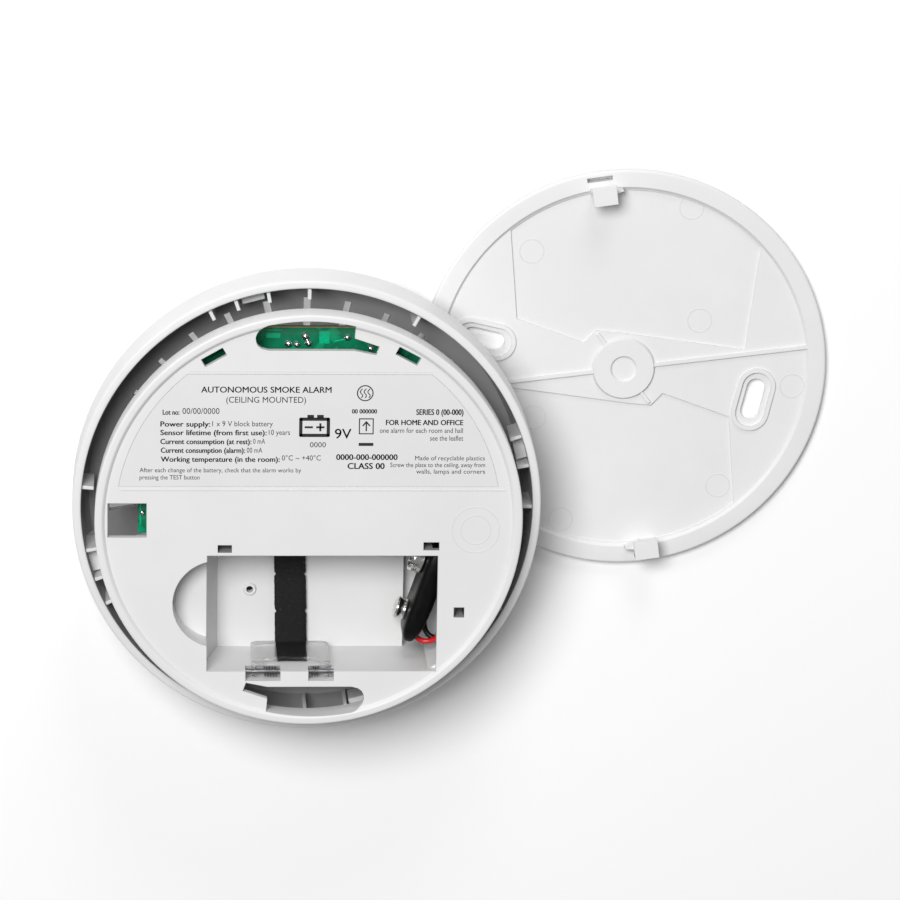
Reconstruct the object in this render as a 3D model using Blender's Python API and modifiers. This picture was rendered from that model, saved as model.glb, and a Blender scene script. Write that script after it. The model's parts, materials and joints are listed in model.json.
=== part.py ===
"""Ceiling smoke detector, taken off its bayonet plate and laid face down.

The head lies on its front with its open back up, and the mounting plate lies
beside it with its hooks up and one edge under the head's sloping front.
Figures in the calls are millimetres, and the helpers turn them into metres.
Head pieces are placed about the head's axis, plate pieces about the plate's
axis, and both axes stand on empties.
"""
import math

import bmesh
import bpy
from mathutils import Matrix, Vector

MM = 0.001
GAP = 0.3

# head, measured up from the front face that it lies on
HEAD_HEIGHT = 36.4
SKIRT_R = 53.6
SKIRT_INNER_R = 51.5
SKIRT_RIM_Z = 27.2
FRONT_DISC_R = 24.0
FRONT_WALL = 2.0
RING_R = 48.5
RING_WALL = 1.8
RING_BOTTOM_Z = 30.1
SLOT_SHIFT = (0.9, -0.9)            # of the lower slot from the upper one's mirror place
RING_CENTRE = (0.15, -0.7)          # the back shell sits slightly low in the front shell
FACE_Z = 35.6
FACE_THICK = 1.8
FACE_UNDER_Z = FACE_Z - FACE_THICK

# battery bay for one 9 V block, 48.5 x 26.5 x 17.5
BAY_LEFT = -22.9
BAY_RIGHT = 29.6
BAY_TOP = -8.8
BAY_BOTTOM = -36.6
BAY_FLOOR_Z = 17.6
BAY_FLOOR_LEFT = -20.3
BAY_FLOOR_RIGHT = 22.8
BAY_WALL = 1.5
POCKET_FLOOR_Z = 13.6
POCKET_RIGHT = 34.2
SCOOP = (-20.3, -20.4, 10.4)
SCOOP_FLOOR_Z = 28.6

# flag hinge on the bay's lower long wall
FLAG_Y = -37.3
FLAG_Z = 33.2
FLAG_LEFT = -12.6
FLAG_RIGHT = 5.4
RECESS_LEFT = (-14.0, -6.0)
RECESS_RIGHT = (0.4, 6.2)

# board, chamber, sounder and button
PCB_Z = 26.0
PCB_THICK = 1.6
PCB_LEFT = -38.6
PCB_TOP = 42.8
PCB_BOTTOM = -5.8
PCB_R = 44.8
SCREWS = ((-33.6, 24.0), (33.6, 24.0), (-18.0, -2.4))
CHAMBER = (0.0, 19.0)
CHAMBER_R = 17.4
HORN = (0.0, -22.5)
BUTTON = (0.0, -3.4)
BUTTON_R = 6.8
LIGHT_PIPE = (19.5, -3.4)

# mounting plate
PLATE_R = 47.4
PLATE_THICK = 1.8
PLATE_RIM_Z = 2.5
PLATE_RIM_WIDTH = 4.0
HOOK_R = 43.0
HOOK_TURN = 8.2
PLATE_OFFSET = (74.2, 26.3)
PLATE_RIB_TURN = 7.0

# the frame's origin is under the middle of the two pieces together
HEAD_X = -0.5 * (PLATE_OFFSET[0] + PLATE_R - SKIRT_R)
HEAD_Y = -0.5 * (PLATE_OFFSET[1] + PLATE_R - SKIRT_R)
PLATE_X = HEAD_X + PLATE_OFFSET[0]
PLATE_Y = HEAD_Y + PLATE_OFFSET[1]

BIG = 60
SMALL = 24

for old in list(bpy.data.objects):
    bpy.data.objects.remove(old)

PARTS = bpy.data.collections.new("smoke_detector")
CUTTERS = bpy.data.collections.new("cutters")
bpy.context.scene.collection.children.link(PARTS)
bpy.context.scene.collection.children.link(CUTTERS)


def empty(name, x, y):
    """Add an empty that carries one of the two assemblies."""
    obj = bpy.data.objects.new(name, None)
    obj.location = (x * MM, y * MM, 0.0)
    PARTS.objects.link(obj)
    return obj


HEAD = empty("head_axis", HEAD_X, HEAD_Y)
PLATE = empty("plate_axis", PLATE_X, PLATE_Y)


def material(name, colour, roughness, metallic=0.0, alpha=1.0):
    """Make a Principled material."""
    mat = bpy.data.materials.new(name)
    mat.use_nodes = True
    shader = mat.node_tree.nodes["Principled BSDF"]
    shader.inputs["Base Color"].default_value = (*colour, 1.0)
    shader.inputs["Roughness"].default_value = roughness
    shader.inputs["Metallic"].default_value = metallic
    shader.inputs["Alpha"].default_value = alpha
    return mat


def smooth(mesh):
    """Shade round surfaces smooth and keep the hard edges."""
    mesh.shade_smooth()
    mesh.set_sharp_from_angle(angle=math.radians(35.0))


def add(name, mesh, mat=None, root=HEAD, origin=(0.0, 0.0, 0.0)):
    """Add a mesh as a part, or as a cutter when it has no material."""
    shift = Vector(origin) * MM
    mesh.transform(Matrix.Translation(-shift))
    smooth(mesh)
    obj = bpy.data.objects.new(name, mesh)
    obj.location = shift
    obj.parent = root
    if mat is None:
        CUTTERS.objects.link(obj)
        obj.hide_render = True
        obj.display_type = "WIRE"
    else:
        PARTS.objects.link(obj)
        mesh.materials.append(material(name, *mat))
    return obj


def to_mesh(bm, name):
    """Turn a bmesh into a mesh."""
    mesh = bpy.data.meshes.new(name)
    bm.to_mesh(mesh)
    bm.free()
    return mesh


def add_box(bm, x0, x1, y0, y1, z0, z1, turn=0.0, about=(0.0, 0.0)):
    """Add a box to a bmesh, turned in degrees about a vertical line."""
    size = Matrix.Diagonal(((x1 - x0) * MM, (y1 - y0) * MM, (z1 - z0) * MM, 1.0))
    centre = Vector((x0 + x1, y0 + y1, z0 + z1)) * 0.5 * MM
    pivot = Vector((about[0], about[1], 0.0)) * MM
    spin = Matrix.Translation(pivot) @ Matrix.Rotation(math.radians(turn), 4, "Z")
    spin = spin @ Matrix.Translation(-pivot)
    bmesh.ops.create_cube(bm, size=1.0, matrix=spin @ Matrix.Translation(centre) @ size)


def add_cylinder(bm, x, y, z0, z1, r, r_top=None, segments=SMALL):
    """Add an upright cylinder or cone to a bmesh."""
    middle = Matrix.Translation(Vector((x, y, 0.5 * (z0 + z1))) * MM)
    top = r if r_top is None else r_top
    bmesh.ops.create_cone(bm, cap_ends=True, segments=segments, radius1=r * MM,
                          radius2=top * MM, depth=(z1 - z0) * MM, matrix=middle)


def box(name, *limits, mat=None, root=HEAD, turn=0.0, about=(0.0, 0.0), origin=(0, 0, 0)):
    """One box object."""
    bm = bmesh.new()
    add_box(bm, *limits, turn=turn, about=about)
    return add(name, to_mesh(bm, name), mat, root, origin)


def cylinder(name, x, y, z0, z1, r, r_top=None, segments=SMALL, mat=None, root=HEAD):
    """One upright cylinder object."""
    bm = bmesh.new()
    add_cylinder(bm, x, y, z0, z1, r, r_top, segments)
    return add(name, to_mesh(bm, name), mat, root)


def rod(name, x0, x1, y, z, r, mat=None, segments=16, origin=(0, 0, 0)):
    """One cylinder that lies along X."""
    bm = bmesh.new()
    lie = Matrix.Translation(Vector((0.5 * (x0 + x1), y, z)) * MM)
    lie = lie @ Matrix.Rotation(math.radians(90.0), 4, "Y")
    bmesh.ops.create_cone(bm, cap_ends=True, segments=segments, radius1=r * MM,
                          radius2=r * MM, depth=(x1 - x0) * MM, matrix=lie)
    return add(name, to_mesh(bm, name), mat, HEAD, origin)


def turned(name, profile, mat=None, root=HEAD, at=(0.0, 0.0), steps=BIG, origin=None):
    """Spin a radius-height profile about an upright axis."""
    bm = bmesh.new()
    points = [bm.verts.new((r * MM, 0.0, z * MM)) for r, z in profile]
    for first, second in zip(points, points[1:]):
        bm.edges.new((first, second))
    if profile[0][0] > 0.0:
        bm.edges.new((points[-1], points[0]))
    mesh = to_mesh(bm, name)
    obj = bpy.data.objects.new(name + "_turning", mesh)
    PARTS.objects.link(obj)
    screw = obj.modifiers.new("screw", "SCREW")
    screw.steps = steps
    screw.render_steps = steps
    screw.use_merge_vertices = True
    screw.merge_threshold = 0.000001
    bpy.context.view_layer.update()
    shape = bpy.data.meshes.new_from_object(obj.evaluated_get(bpy.context.evaluated_depsgraph_get()))
    bpy.data.objects.remove(obj)
    shape.name = name
    shape.transform(Matrix.Translation((at[0] * MM, at[1] * MM, 0.0)))
    return add(name, shape, mat, root, origin or (0.0, 0.0, 0.0))


def curve_mesh(curve, name):
    """Turn a curve into a closed mesh."""
    obj = bpy.data.objects.new(name + "_curve", curve)
    PARTS.objects.link(obj)
    bpy.context.view_layer.update()
    mesh = bpy.data.meshes.new_from_object(obj.evaluated_get(bpy.context.evaluated_depsgraph_get()))
    bpy.data.objects.remove(obj)
    bm = bmesh.new()
    bm.from_mesh(mesh)
    bmesh.ops.remove_doubles(bm, verts=bm.verts, dist=0.000002)
    bm.to_mesh(mesh)
    bm.free()
    mesh.name = name
    return mesh


def outline_mesh(name, points, low, high, plane="XY"):
    """Extrude a flat outline between two levels of its third axis."""
    curve = bpy.data.curves.new(name, "CURVE")
    curve.dimensions = "2D"
    curve.fill_mode = "BOTH"
    curve.extrude = 0.5 * (high - low) * MM
    spline = curve.splines.new("POLY")
    spline.points.add(len(points) - 1)
    for point, (u, v) in zip(spline.points, points):
        point.co = (u * MM, v * MM, 0.0, 1.0)
    spline.use_cyclic_u = True
    mesh = curve_mesh(curve, name)
    mesh.transform(Matrix.Translation((0.0, 0.0, 0.5 * (low + high) * MM)))
    if plane == "YZ":
        mesh.transform(Matrix(((0, 0, 1, 0), (1, 0, 0, 0), (0, 1, 0, 0), (0, 0, 0, 1))))
    if plane == "XZ":
        mesh.transform(Matrix(((1, 0, 0, 0), (0, 0, -1, 0), (0, 1, 0, 0), (0, 0, 0, 1))))
    return mesh


def outline(name, points, low, high, plane="XY", mat=None, root=HEAD, origin=(0, 0, 0)):
    """One extruded outline object."""
    return add(name, outline_mesh(name, points, low, high, plane), mat, root, origin)


def tube_mesh(name, points, diameter):
    """Make a wire through points."""
    curve = bpy.data.curves.new(name, "CURVE")
    curve.dimensions = "3D"
    curve.bevel_depth = 0.5 * diameter * MM
    curve.bevel_resolution = 2
    curve.use_fill_caps = True
    spline = curve.splines.new("POLY")
    spline.points.add(len(points) - 1)
    for point, place in zip(spline.points, points):
        point.co = (*(Vector(place) * MM), 1.0)
    return curve_mesh(curve, name)


def smooth_path(knots, spacing):
    """Points at an even spacing on a smooth curve through the knots."""
    places = [Vector(knot) for knot in knots]
    places = [places[0] * 2.0 - places[1]] + places + [places[-1] * 2.0 - places[-2]]
    fine = []
    for a, b, c, d in zip(places, places[1:], places[2:], places[3:]):
        for step in range(40):
            t = step / 40.0
            fine.append(0.5 * ((2.0 * b) + (c - a) * t + (2.0 * a - 5.0 * b + 4.0 * c - d) * t * t
                               + (3.0 * b - a - 3.0 * c + d) * t * t * t))
    fine.append(places[-2])
    length = sum((q - p).length for p, q in zip(fine, fine[1:]))
    count = max(2, round(length / spacing))
    wanted = [length * k / count for k in range(count + 1)]
    path = []
    walked = 0.0
    for p, q in zip(fine, fine[1:]):
        hop = (q - p).length
        while wanted and wanted[0] <= walked + hop + 0.0001:
            path.append(p.lerp(q, min(1.0, (wanted[0] - walked) / max(hop, 0.000001))))
            wanted.pop(0)
        walked += hop
    return path


def combine(obj, other, operation):
    """Cut or join with a Boolean modifier."""
    modifier = obj.modifiers.new(other.name, "BOOLEAN")
    modifier.operation = operation
    modifier.solver = "EXACT"
    modifier.object = other


def cut(obj, *others):
    """Take shapes away."""
    for other in others:
        combine(obj, other, "DIFFERENCE")


def join(obj, *others):
    """Add shapes."""
    for other in others:
        combine(obj, other, "UNION")


def polar(r, angle, at=(0.0, 0.0)):
    """Point at a radius and an angle in degrees."""
    turn = math.radians(angle)
    return (at[0] + r * math.cos(turn), at[1] + r * math.sin(turn))


def arc(r, start, stop, count, at=(0.0, 0.0)):
    """Points along an arc."""
    return [polar(r, start + (stop - start) * k / count, at) for k in range(count + 1)]


def angle_at_x(r, x):
    """Angle in degrees at which a circle in the lower right quarter has this x."""
    return -math.degrees(math.acos(x / r))


def angle_at_y(r, y):
    """Angle in degrees at which a circle in the right half has this y."""
    return math.degrees(math.asin(y / r))


# ---------------------------------------------------------------- front cover
def front_shell():
    """Turned shell with a flat sounding disc, a sloping inlet band and a tall skirt."""
    profile = [
        (0.0, FRONT_WALL), (23.2, FRONT_WALL), (29.8, 8.2), (46.4, 11.5), (49.9, 13.2),
        (SKIRT_INNER_R, 16.4), (SKIRT_INNER_R, SKIRT_RIM_Z), (SKIRT_R - 0.5, SKIRT_RIM_Z),
        (SKIRT_R - 0.1, SKIRT_RIM_Z - 0.4), (SKIRT_R, 15.8), (52.9, 13.3), (50.9, 11.2),
        (47.3, 9.5), (30.6, 6.2), (24.5, 0.5), (23.7, 0.0), (0.0, 0.0),
    ]
    return turned("front_cover", profile, ((0.86, 0.86, 0.85), 0.42))


def gap_ribs():
    """Short radial ribs that centre the back ring inside the skirt."""
    bm = bmesh.new()
    for angle in (-29.0, 0.0, 11.0, 19.0, 61.0, 90.0, 100.5, 109.0, 116.0, 175.0, 192.0, 200.0,
                  207.0, 241.0, 270.0, 281.0, 289.0):
        add_box(bm, RING_R + GAP, SKIRT_INNER_R + 0.6, -0.5, 0.5, 15.9, 26.0, turn=angle)
    return add("gap_ribs", to_mesh(bm, "gap_ribs"))


def snap_blocks():
    """Catches between pairs of ribs that hold the two covers together."""
    bm = bmesh.new()
    for angle in (15.0, 104.75, 196.0, 285.0):
        add_box(bm, RING_R + GAP + 0.2, SKIRT_INNER_R + 0.6, -2.6, 2.6, 16.2, 22.4, turn=angle)
    return add("snap_blocks", to_mesh(bm, "snap_blocks"))


def inlet_slots():
    """Radial smoke slots through the sloping band."""
    bm = bmesh.new()
    for k in range(30):
        add_box(bm, 33.0, 45.5, -0.8, 0.8, 3.0, 15.0, turn=6.0 + 12.0 * k)
    return add("inlet_slots", to_mesh(bm, "inlet_slots"))


def sound_slots():
    """Straight slots in the flat disc in front of the horn."""
    bm = bmesh.new()
    for y in (-21.2, -18.8, -16.4, -14.0):
        half = math.sqrt(22.0 ** 2 - y * y) * 0.62
        add_box(bm, -half, half, y - 0.6, y + 0.6, -1.0, 4.0)
    return add("sound_slots", to_mesh(bm, "sound_slots"))


def front_cover():
    """Front shell with its ribs, catches, slots and holes."""
    shell = front_shell()
    join(shell, gap_ribs(), snap_blocks())
    button_hole = cylinder("button_hole", *BUTTON, -1.0, 4.0, BUTTON_R + GAP, segments=40)
    pipe_hole = cylinder("pipe_hole", *LIGHT_PIPE, -1.0, 4.0, 1.5 + GAP)
    cut(shell, inlet_slots(), sound_slots(), button_hole, pipe_hole)
    return shell


# ----------------------------------------------------------------- back cover
def back_shell():
    """Turned disc with a raised edge and a deep ring wall."""
    inner = RING_R - RING_WALL
    profile = [
        (0.0, FACE_Z), (46.4, FACE_Z), (46.9, 36.2), (47.4, HEAD_HEIGHT), (48.1, HEAD_HEIGHT),
        (RING_R, HEAD_HEIGHT - 0.4), (RING_R, RING_BOTTOM_Z), (inner, RING_BOTTOM_Z),
        (inner, FACE_UNDER_Z), (0.0, FACE_UNDER_Z),
    ]
    return turned("back_cover", profile, ((0.86, 0.86, 0.85), 0.45), at=RING_CENTRE)


def tub_blocks():
    """Solid blocks that become the walls of the bay, the pocket and the scoop."""
    low = BAY_BOTTOM - BAY_WALL
    bay = box("bay_block", BAY_LEFT - BAY_WALL, 25.0, low, BAY_TOP + BAY_WALL,
              BAY_FLOOR_Z - BAY_WALL, FACE_UNDER_Z + 0.7)
    r = RING_R - 0.9
    right = POCKET_RIGHT + BAY_WALL
    plan = [(21.3, BAY_TOP + BAY_WALL), (26.9, BAY_TOP + BAY_WALL), (26.9, -4.5), (right, -4.5)]
    plan += arc(r, angle_at_x(r, right), angle_at_y(r, low), 5)
    plan += [(21.3, low)]
    pocket = outline("pocket_block", plan, POCKET_FLOOR_Z - BAY_WALL, FACE_UNDER_Z + 0.7)
    scoop = cylinder("scoop_block", SCOOP[0], SCOOP[1], SCOOP_FLOOR_Z - BAY_WALL,
                     FACE_UNDER_Z + 0.7, SCOOP[2] + BAY_WALL, segments=40)
    hinge = box("hinge_block", -16.2, 8.8, -39.4, BAY_BOTTOM - 0.5, 29.8, FACE_UNDER_Z + 0.7)
    seat = box("spring_seat", -4.0, 4.0, -9.0, 0.4, 14.6, 16.6)
    return bay, pocket, scoop, hinge, seat


def bay_cavity():
    """Bay with a left end wall that leans out as far as the scoop's floor."""
    side = [(BAY_FLOOR_LEFT, BAY_FLOOR_Z), (BAY_FLOOR_RIGHT + 0.2, BAY_FLOOR_Z),
            (BAY_FLOOR_RIGHT + 0.2, 40.0), (BAY_LEFT, 40.0), (BAY_LEFT, SCOOP_FLOOR_Z)]
    return outline("bay_cavity", side, -BAY_TOP, -BAY_BOTTOM, plane="XZ")


def pocket_cavity():
    """Deeper pocket for the snap connector, which runs on under the face."""
    r = RING_R - RING_WALL - 0.3
    plan = [(BAY_FLOOR_RIGHT, BAY_TOP), (28.4, BAY_TOP), (28.4, -6.0), (POCKET_RIGHT, -6.0)]
    plan += arc(r, angle_at_x(r, POCKET_RIGHT), angle_at_x(r, 27.9), 5)
    plan += [(26.7, BAY_BOTTOM), (BAY_FLOOR_RIGHT, BAY_BOTTOM)]
    return outline("pocket_cavity", plan, POCKET_FLOOR_Z, FACE_UNDER_Z)


def slot_plan(turn):
    """Bayonet slot: wide entry for the hook and a narrow run for its neck."""
    outer = 46.4
    y = 39.4
    plan = [(9.9, y), (14.8, 38.4), (15.5, 40.4), (9.9, 42.3)]
    plan += arc(outer, 77.4, 102.0, 8)
    plan += [(-11.3, 44.2), (-12.3, 42.8), (-12.1, 41.0), (-10.9, 39.8), (-9.4, y)]
    spin = math.radians(turn)
    shift = SLOT_SHIFT if turn else (0.0, 0.0)
    return [(u * math.cos(spin) - v * math.sin(spin) + shift[0],
             u * math.sin(spin) + v * math.cos(spin) + shift[1]) for u, v in plan]


def face_windows():
    """Small windows through the face."""
    bm = bmesh.new()
    add_box(bm, -20.5, -17.3, -8.1, -6.3, 25.0, 37.0)
    add_box(bm, 26.2, 29.8, -7.5, -5.6, 25.0, 37.0)
    add_box(bm, 33.4, 35.8, -23.6, -21.2, 28.0, 37.0)
    add_box(bm, -24.4, -18.8, 36.8, 38.8, 33.0, 37.0, turn=30.0, about=(-21.6, 37.8))
    add_box(bm, 19.2, 24.8, 37.2, 39.2, 33.0, 37.0, turn=-28.0, about=(22.0, 38.2))
    add_box(bm, -45.4, -36.6, -4.5, 3.6, 33.0, 37.0)
    return add("face_windows", to_mesh(bm, "face_windows"))


def label_plan(r, low, high):
    """Wide band cut off by a circle."""
    left_low = 180.0 - angle_at_y(r, low)
    left_high = 180.0 - angle_at_y(r, high)
    return arc(r, angle_at_y(r, low), angle_at_y(r, high), 6) + arc(r, left_high, left_low, 6)


def bay_openings():
    """Mouth of the bay, scoop, hinge recesses and their pin hole."""
    mouth = box("bay_mouth", BAY_FLOOR_RIGHT, BAY_RIGHT, BAY_BOTTOM, BAY_TOP, 33.0, 37.0)
    scoop = cylinder("scoop_cut", SCOOP[0], SCOOP[1], SCOOP_FLOOR_Z, 37.0, SCOOP[2], segments=40)
    recesses = bmesh.new()
    wells = bmesh.new()
    for left, right in (RECESS_LEFT, RECESS_RIGHT):
        add_box(recesses, left, right, -38.9, BAY_BOTTOM + 0.6, 31.4, 37.0)
        add_box(wells, left + 1.0, right - 1.0, -38.0, BAY_BOTTOM - 0.9, 25.0, 32.0)
    recesses = add("hinge_recesses", to_mesh(recesses, "hinge_recesses"))
    wells = add("hinge_wells", to_mesh(wells, "hinge_wells"))
    pin = rod("pin_hole", -17.0, 7.8, FLAG_Y, FLAG_Z, 0.85)
    return mouth, scoop, recesses, wells, pin


def posts_and_bores():
    """Posts for the board's screws and the bores in them."""
    posts = bmesh.new()
    bores = bmesh.new()
    for x, y in SCREWS:
        add_cylinder(posts, x, y, PCB_Z + PCB_THICK + GAP, FACE_UNDER_Z + 0.6, 2.7)
        add_cylinder(bores, x, y, PCB_Z, 32.6, 1.4, segments=16)
    add_cylinder(bores, *BUTTON, 14.0, 17.0, 2.4)
    return add("posts", to_mesh(posts, "posts")), add("bores", to_mesh(bores, "bores"))


def back_cover():
    """Back shell with its bay, pocket, slots and windows."""
    shell = back_shell()
    posts, bores = posts_and_bores()
    join(shell, *tub_blocks())
    join(shell, posts)
    boss = cylinder("floor_boss", -12.8, -22.6, BAY_FLOOR_Z - 0.5, BAY_FLOOR_Z + 0.5, 1.6, 1.2)
    boss_hole = cylinder("boss_hole", -12.8, -22.6, 15.0, 19.0, 0.8, segments=16)
    cut(shell, bay_cavity(), pocket_cavity(), *bay_openings())
    join(shell, boss)
    lead_notch = box("lead_notch", 30.6, 35.0, -7.0, -4.0, 28.6, FACE_UNDER_Z)
    label_bed = outline("label_bed", label_plan(43.6, 7.6, 33.9), FACE_Z - 0.6, 37.0)
    slots = [outline("slot_%d" % k, slot_plan(180.0 * k), 33.0, 37.0) for k in range(2)]
    cut(shell, boss_hole, lead_notch, face_windows(), label_bed, bores, *slots)
    return shell


def rating_label():
    """Printed sheet in its bed on the back."""
    plan = label_plan(43.3, 7.9, 33.6)
    return outline("rating_label", plan, FACE_Z - 0.3, FACE_Z, mat=((0.83, 0.83, 0.83), 0.5))


# ------------------------------------------------------------------ test button
def test_button():
    """Round key with a flange and a long stem that reaches the switch."""
    profile = [(0.0, 18.9), (1.8, 18.9), (2.0, 18.7), (2.0, 3.4), (BUTTON_R + 1.4, 3.4),
               (BUTTON_R + 1.4, 2.4), (BUTTON_R, 2.4), (BUTTON_R, 1.0), (BUTTON_R - 0.5, 0.6),
               (0.0, 0.6)]
    return turned("test_button", profile, ((0.84, 0.84, 0.83), 0.4), at=BUTTON, steps=32,
                  origin=(*BUTTON, 0.6))


def helix(radius, start, stop, turns, per_turn, at, axis="Z"):
    """Points of a coil along Z or X."""
    total = turns * per_turn
    points = []
    for k in range(total + 1):
        angle = 2.0 * math.pi * k / per_turn
        along = start + (stop - start) * k / total
        u = radius * math.cos(angle)
        v = radius * math.sin(angle)
        if axis == "Z":
            points.append((at[0] + u, at[1] + v, along))
        else:
            points.append((along, at[0] + u, at[1] + v))
    return points


def springs():
    """Return spring of the button and the two torsion springs of the flag."""
    steel = ((0.55, 0.55, 0.56), 0.3, 1.0)
    coil = helix(3.1, 4.0, 14.0, 5, 10, BUTTON)
    add("test_button_spring", tube_mesh("test_button_spring", coil, 0.5), steel)
    axis = (FLAG_Y, FLAG_Z)
    left = helix(1.15, RECESS_LEFT[1] - 0.6, RECESS_LEFT[1] - 3.8, 5, 8, axis, "X")
    right = helix(1.15, RECESS_RIGHT[0] + 0.6, RECESS_RIGHT[0] + 2.4, 3, 8, axis, "X")
    add("flag_spring_left", tube_mesh("flag_spring_left", left, 0.34), steel)
    add("flag_spring_right", tube_mesh("flag_spring_right", right, 0.34), steel)


# ----------------------------------------------------------------- battery flag
def battery_flag():
    """Clear flap with two lugs, hanging from its pin down the long wall."""
    r = 2.0
    low = 18.8
    plan = [(FLAG_LEFT, 34.0), (FLAG_LEFT, low + r)]
    plan += arc(r, 180.0, 270.0, 4, (FLAG_LEFT + r, low + r))
    plan += arc(r, 270.0, 360.0, 4, (FLAG_RIGHT - r, low + r))
    plan += [(FLAG_RIGHT, low + r), (FLAG_RIGHT, 34.0), (3.0, 34.0), (3.0, 31.0), (0.4, 30.2),
             (-6.0, 30.2), (-10.2, 31.0), (-10.2, 34.0)]
    axis = (0.0, FLAG_Y, FLAG_Z)
    flag = outline("battery_flag", plan, 34.9, 35.6, plane="XZ",
                   mat=((0.9, 0.92, 0.92), 0.12, 0.0, 0.35), origin=axis)
    left = rod("lug_left", FLAG_LEFT, -10.2, FLAG_Y, FLAG_Z, 1.25)
    right = rod("lug_right", 3.0, FLAG_RIGHT, FLAG_Y, FLAG_Z, 1.25)
    bm = bmesh.new()
    add_box(bm, FLAG_LEFT, -10.2, FLAG_Y, -35.2, FLAG_Z - 0.7, FLAG_Z + 0.7)
    add_box(bm, 3.0, FLAG_RIGHT, FLAG_Y, -35.2, FLAG_Z - 0.7, FLAG_Z + 0.7)
    arms = add("flag_arms", to_mesh(bm, "flag_arms"))
    join(flag, arms, left, right)
    cut(flag, rod("flag_bore", -18.0, 12.0, FLAG_Y, FLAG_Z, 0.85))
    rod("flag_pin", -15.6, 7.4, FLAG_Y, FLAG_Z, 0.55, mat=((0.5, 0.5, 0.52), 0.25, 1.0))
    return flag


def foam_strip():
    """Dark pad on the floor that runs up the long wall."""
    top = BAY_FLOOR_Z + 1.1
    wall = BAY_BOTTOM + 0.3
    side = [(-9.2, BAY_FLOOR_Z + GAP), (-9.2, top), (wall + 0.4, top), (wall + 0.4, 29.0),
            (wall, 29.0), (wall, BAY_FLOOR_Z + GAP)]
    return outline("foam_strip", side, -7.1, 0.2, plane="YZ", mat=((0.03, 0.03, 0.03), 0.9))


# ------------------------------------------------------------ board and circuit
def pcb():
    """Board cut from a disc, flat on three sides, with a corner left for the pocket."""
    top_angle = angle_at_y(PCB_R, PCB_TOP)
    left_angle = 180.0 - math.degrees(math.acos(-PCB_LEFT / PCB_R))
    plan = [(PCB_LEFT, PCB_BOTTOM), (26.5, PCB_BOTTOM), (26.5, -4.1), (-PCB_LEFT, -4.1)]
    plan += arc(PCB_R, 180.0 - left_angle, top_angle, 6)
    plan += arc(PCB_R, 180.0 - top_angle, left_angle, 6)
    board = outline("pcb", plan, PCB_Z, PCB_Z + PCB_THICK, mat=((0.02, 0.33, 0.17), 0.35))
    bm = bmesh.new()
    for x, y in SCREWS:
        add_cylinder(bm, x, y, 25.0, 29.0, 1.5, segments=16)
    cut(board, add("board_holes", to_mesh(bm, "board_holes")))
    return board


def board_screws():
    """Pan-head screws up through the board into the posts."""
    for number, (x, y) in enumerate(SCREWS, 1):
        profile = [(0.0, 32.2), (0.8, 31.4), (1.1, 30.8), (1.1, 25.7), (2.6, 25.7), (2.6, 24.6),
                   (2.0, 24.0), (0.0, 24.0)]
        screw = turned("pcb_screw_%d" % number, profile, ((0.6, 0.6, 0.62), 0.3, 1.0),
                       at=(x, y), steps=16)
        bm = bmesh.new()
        add_box(bm, x - 1.4, x + 1.4, y - 0.25, y + 0.25, 23.5, 24.5)
        cut(screw, add("drive_%d" % number, to_mesh(bm, "drive")))


def legs_mesh(name, places, low, high, half=0.25):
    """Square legs that stand at several places."""
    bm = bmesh.new()
    for x, y in places:
        add_box(bm, x - half, x + half, y - half, y + half, low, high)
    return add(name, to_mesh(bm, name))


def detector_ic():
    """Sixteen-leg package under the board."""
    body = box("detector_ic", -31.2, -24.8, 1.4, 20.6, 22.0, 25.2, mat=((0.03, 0.03, 0.03), 0.5))
    places = [(x, 2.1 + 2.54 * k) for k in range(8) for x in (-31.6, -24.4)]
    feet = legs_mesh("ic_feet", places, 23.2, PCB_Z - GAP)
    shoulders = bmesh.new()
    for x, y in places:
        inner = -31.0 if x < -28.0 else -25.0
        add_box(shoulders, min(x, inner) - 0.1, max(x, inner) + 0.1, y - 0.25, y + 0.25, 23.3, 23.8)
    join(body, add("ic_shoulders", to_mesh(shoulders, "ic_shoulders")), feet)
    return body


def can(name, x, y, r, height, colour):
    """Upright can with a sleeve groove and two legs."""
    high = 25.0
    low = high - height
    profile = [(0.0, high), (r - 0.4, high), (r, high - 0.4), (r, high - 1.2), (r - 0.35, high - 1.6),
               (r, high - 2.0), (r, low + 0.4), (r - 0.4, low), (0.0, low)]
    body = turned(name, profile, (colour, 0.4), at=(x, y), steps=16)
    join(body, legs_mesh(name + "_legs", ((x - 1.2, y), (x + 1.2, y)), high - 0.5, PCB_Z - GAP))
    return body


def inductor_coil():
    """Drum core with its winding."""
    profile = [(0.0, 25.0), (4.4, 25.0), (4.4, 23.8), (3.9, 23.6), (3.9, 17.4), (4.4, 17.2),
               (4.4, 16.0), (0.0, 16.0)]
    body = turned("inductor_coil", profile, ((0.35, 0.15, 0.06), 0.5), at=(28.5, 3.2), steps=16)
    join(body, legs_mesh("coil_legs", ((27.0, 3.2), (30.0, 3.2)), 24.5, PCB_Z - GAP))
    return body


def resistors():
    """Axial resistors on bent legs."""
    for number, (x, y) in enumerate(((-25.5, 25.5), (-25.5, 29.5), (20.5, 36.4)), 1):
        name = "resistor_%d" % number
        body = rod(name, x - 3.0, x + 3.0, y, 23.8, 1.1, mat=((0.55, 0.42, 0.28), 0.5))
        wire = [(x - 4.4, y, 25.7), (x - 4.4, y, 24.2), (x - 4.0, y, 23.8), (x + 4.0, y, 23.8),
                (x + 4.4, y, 24.2), (x + 4.4, y, 25.7)]
        join(body, add(name + "_wire", tube_mesh(name + "_wire", wire, 0.6)))


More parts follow.
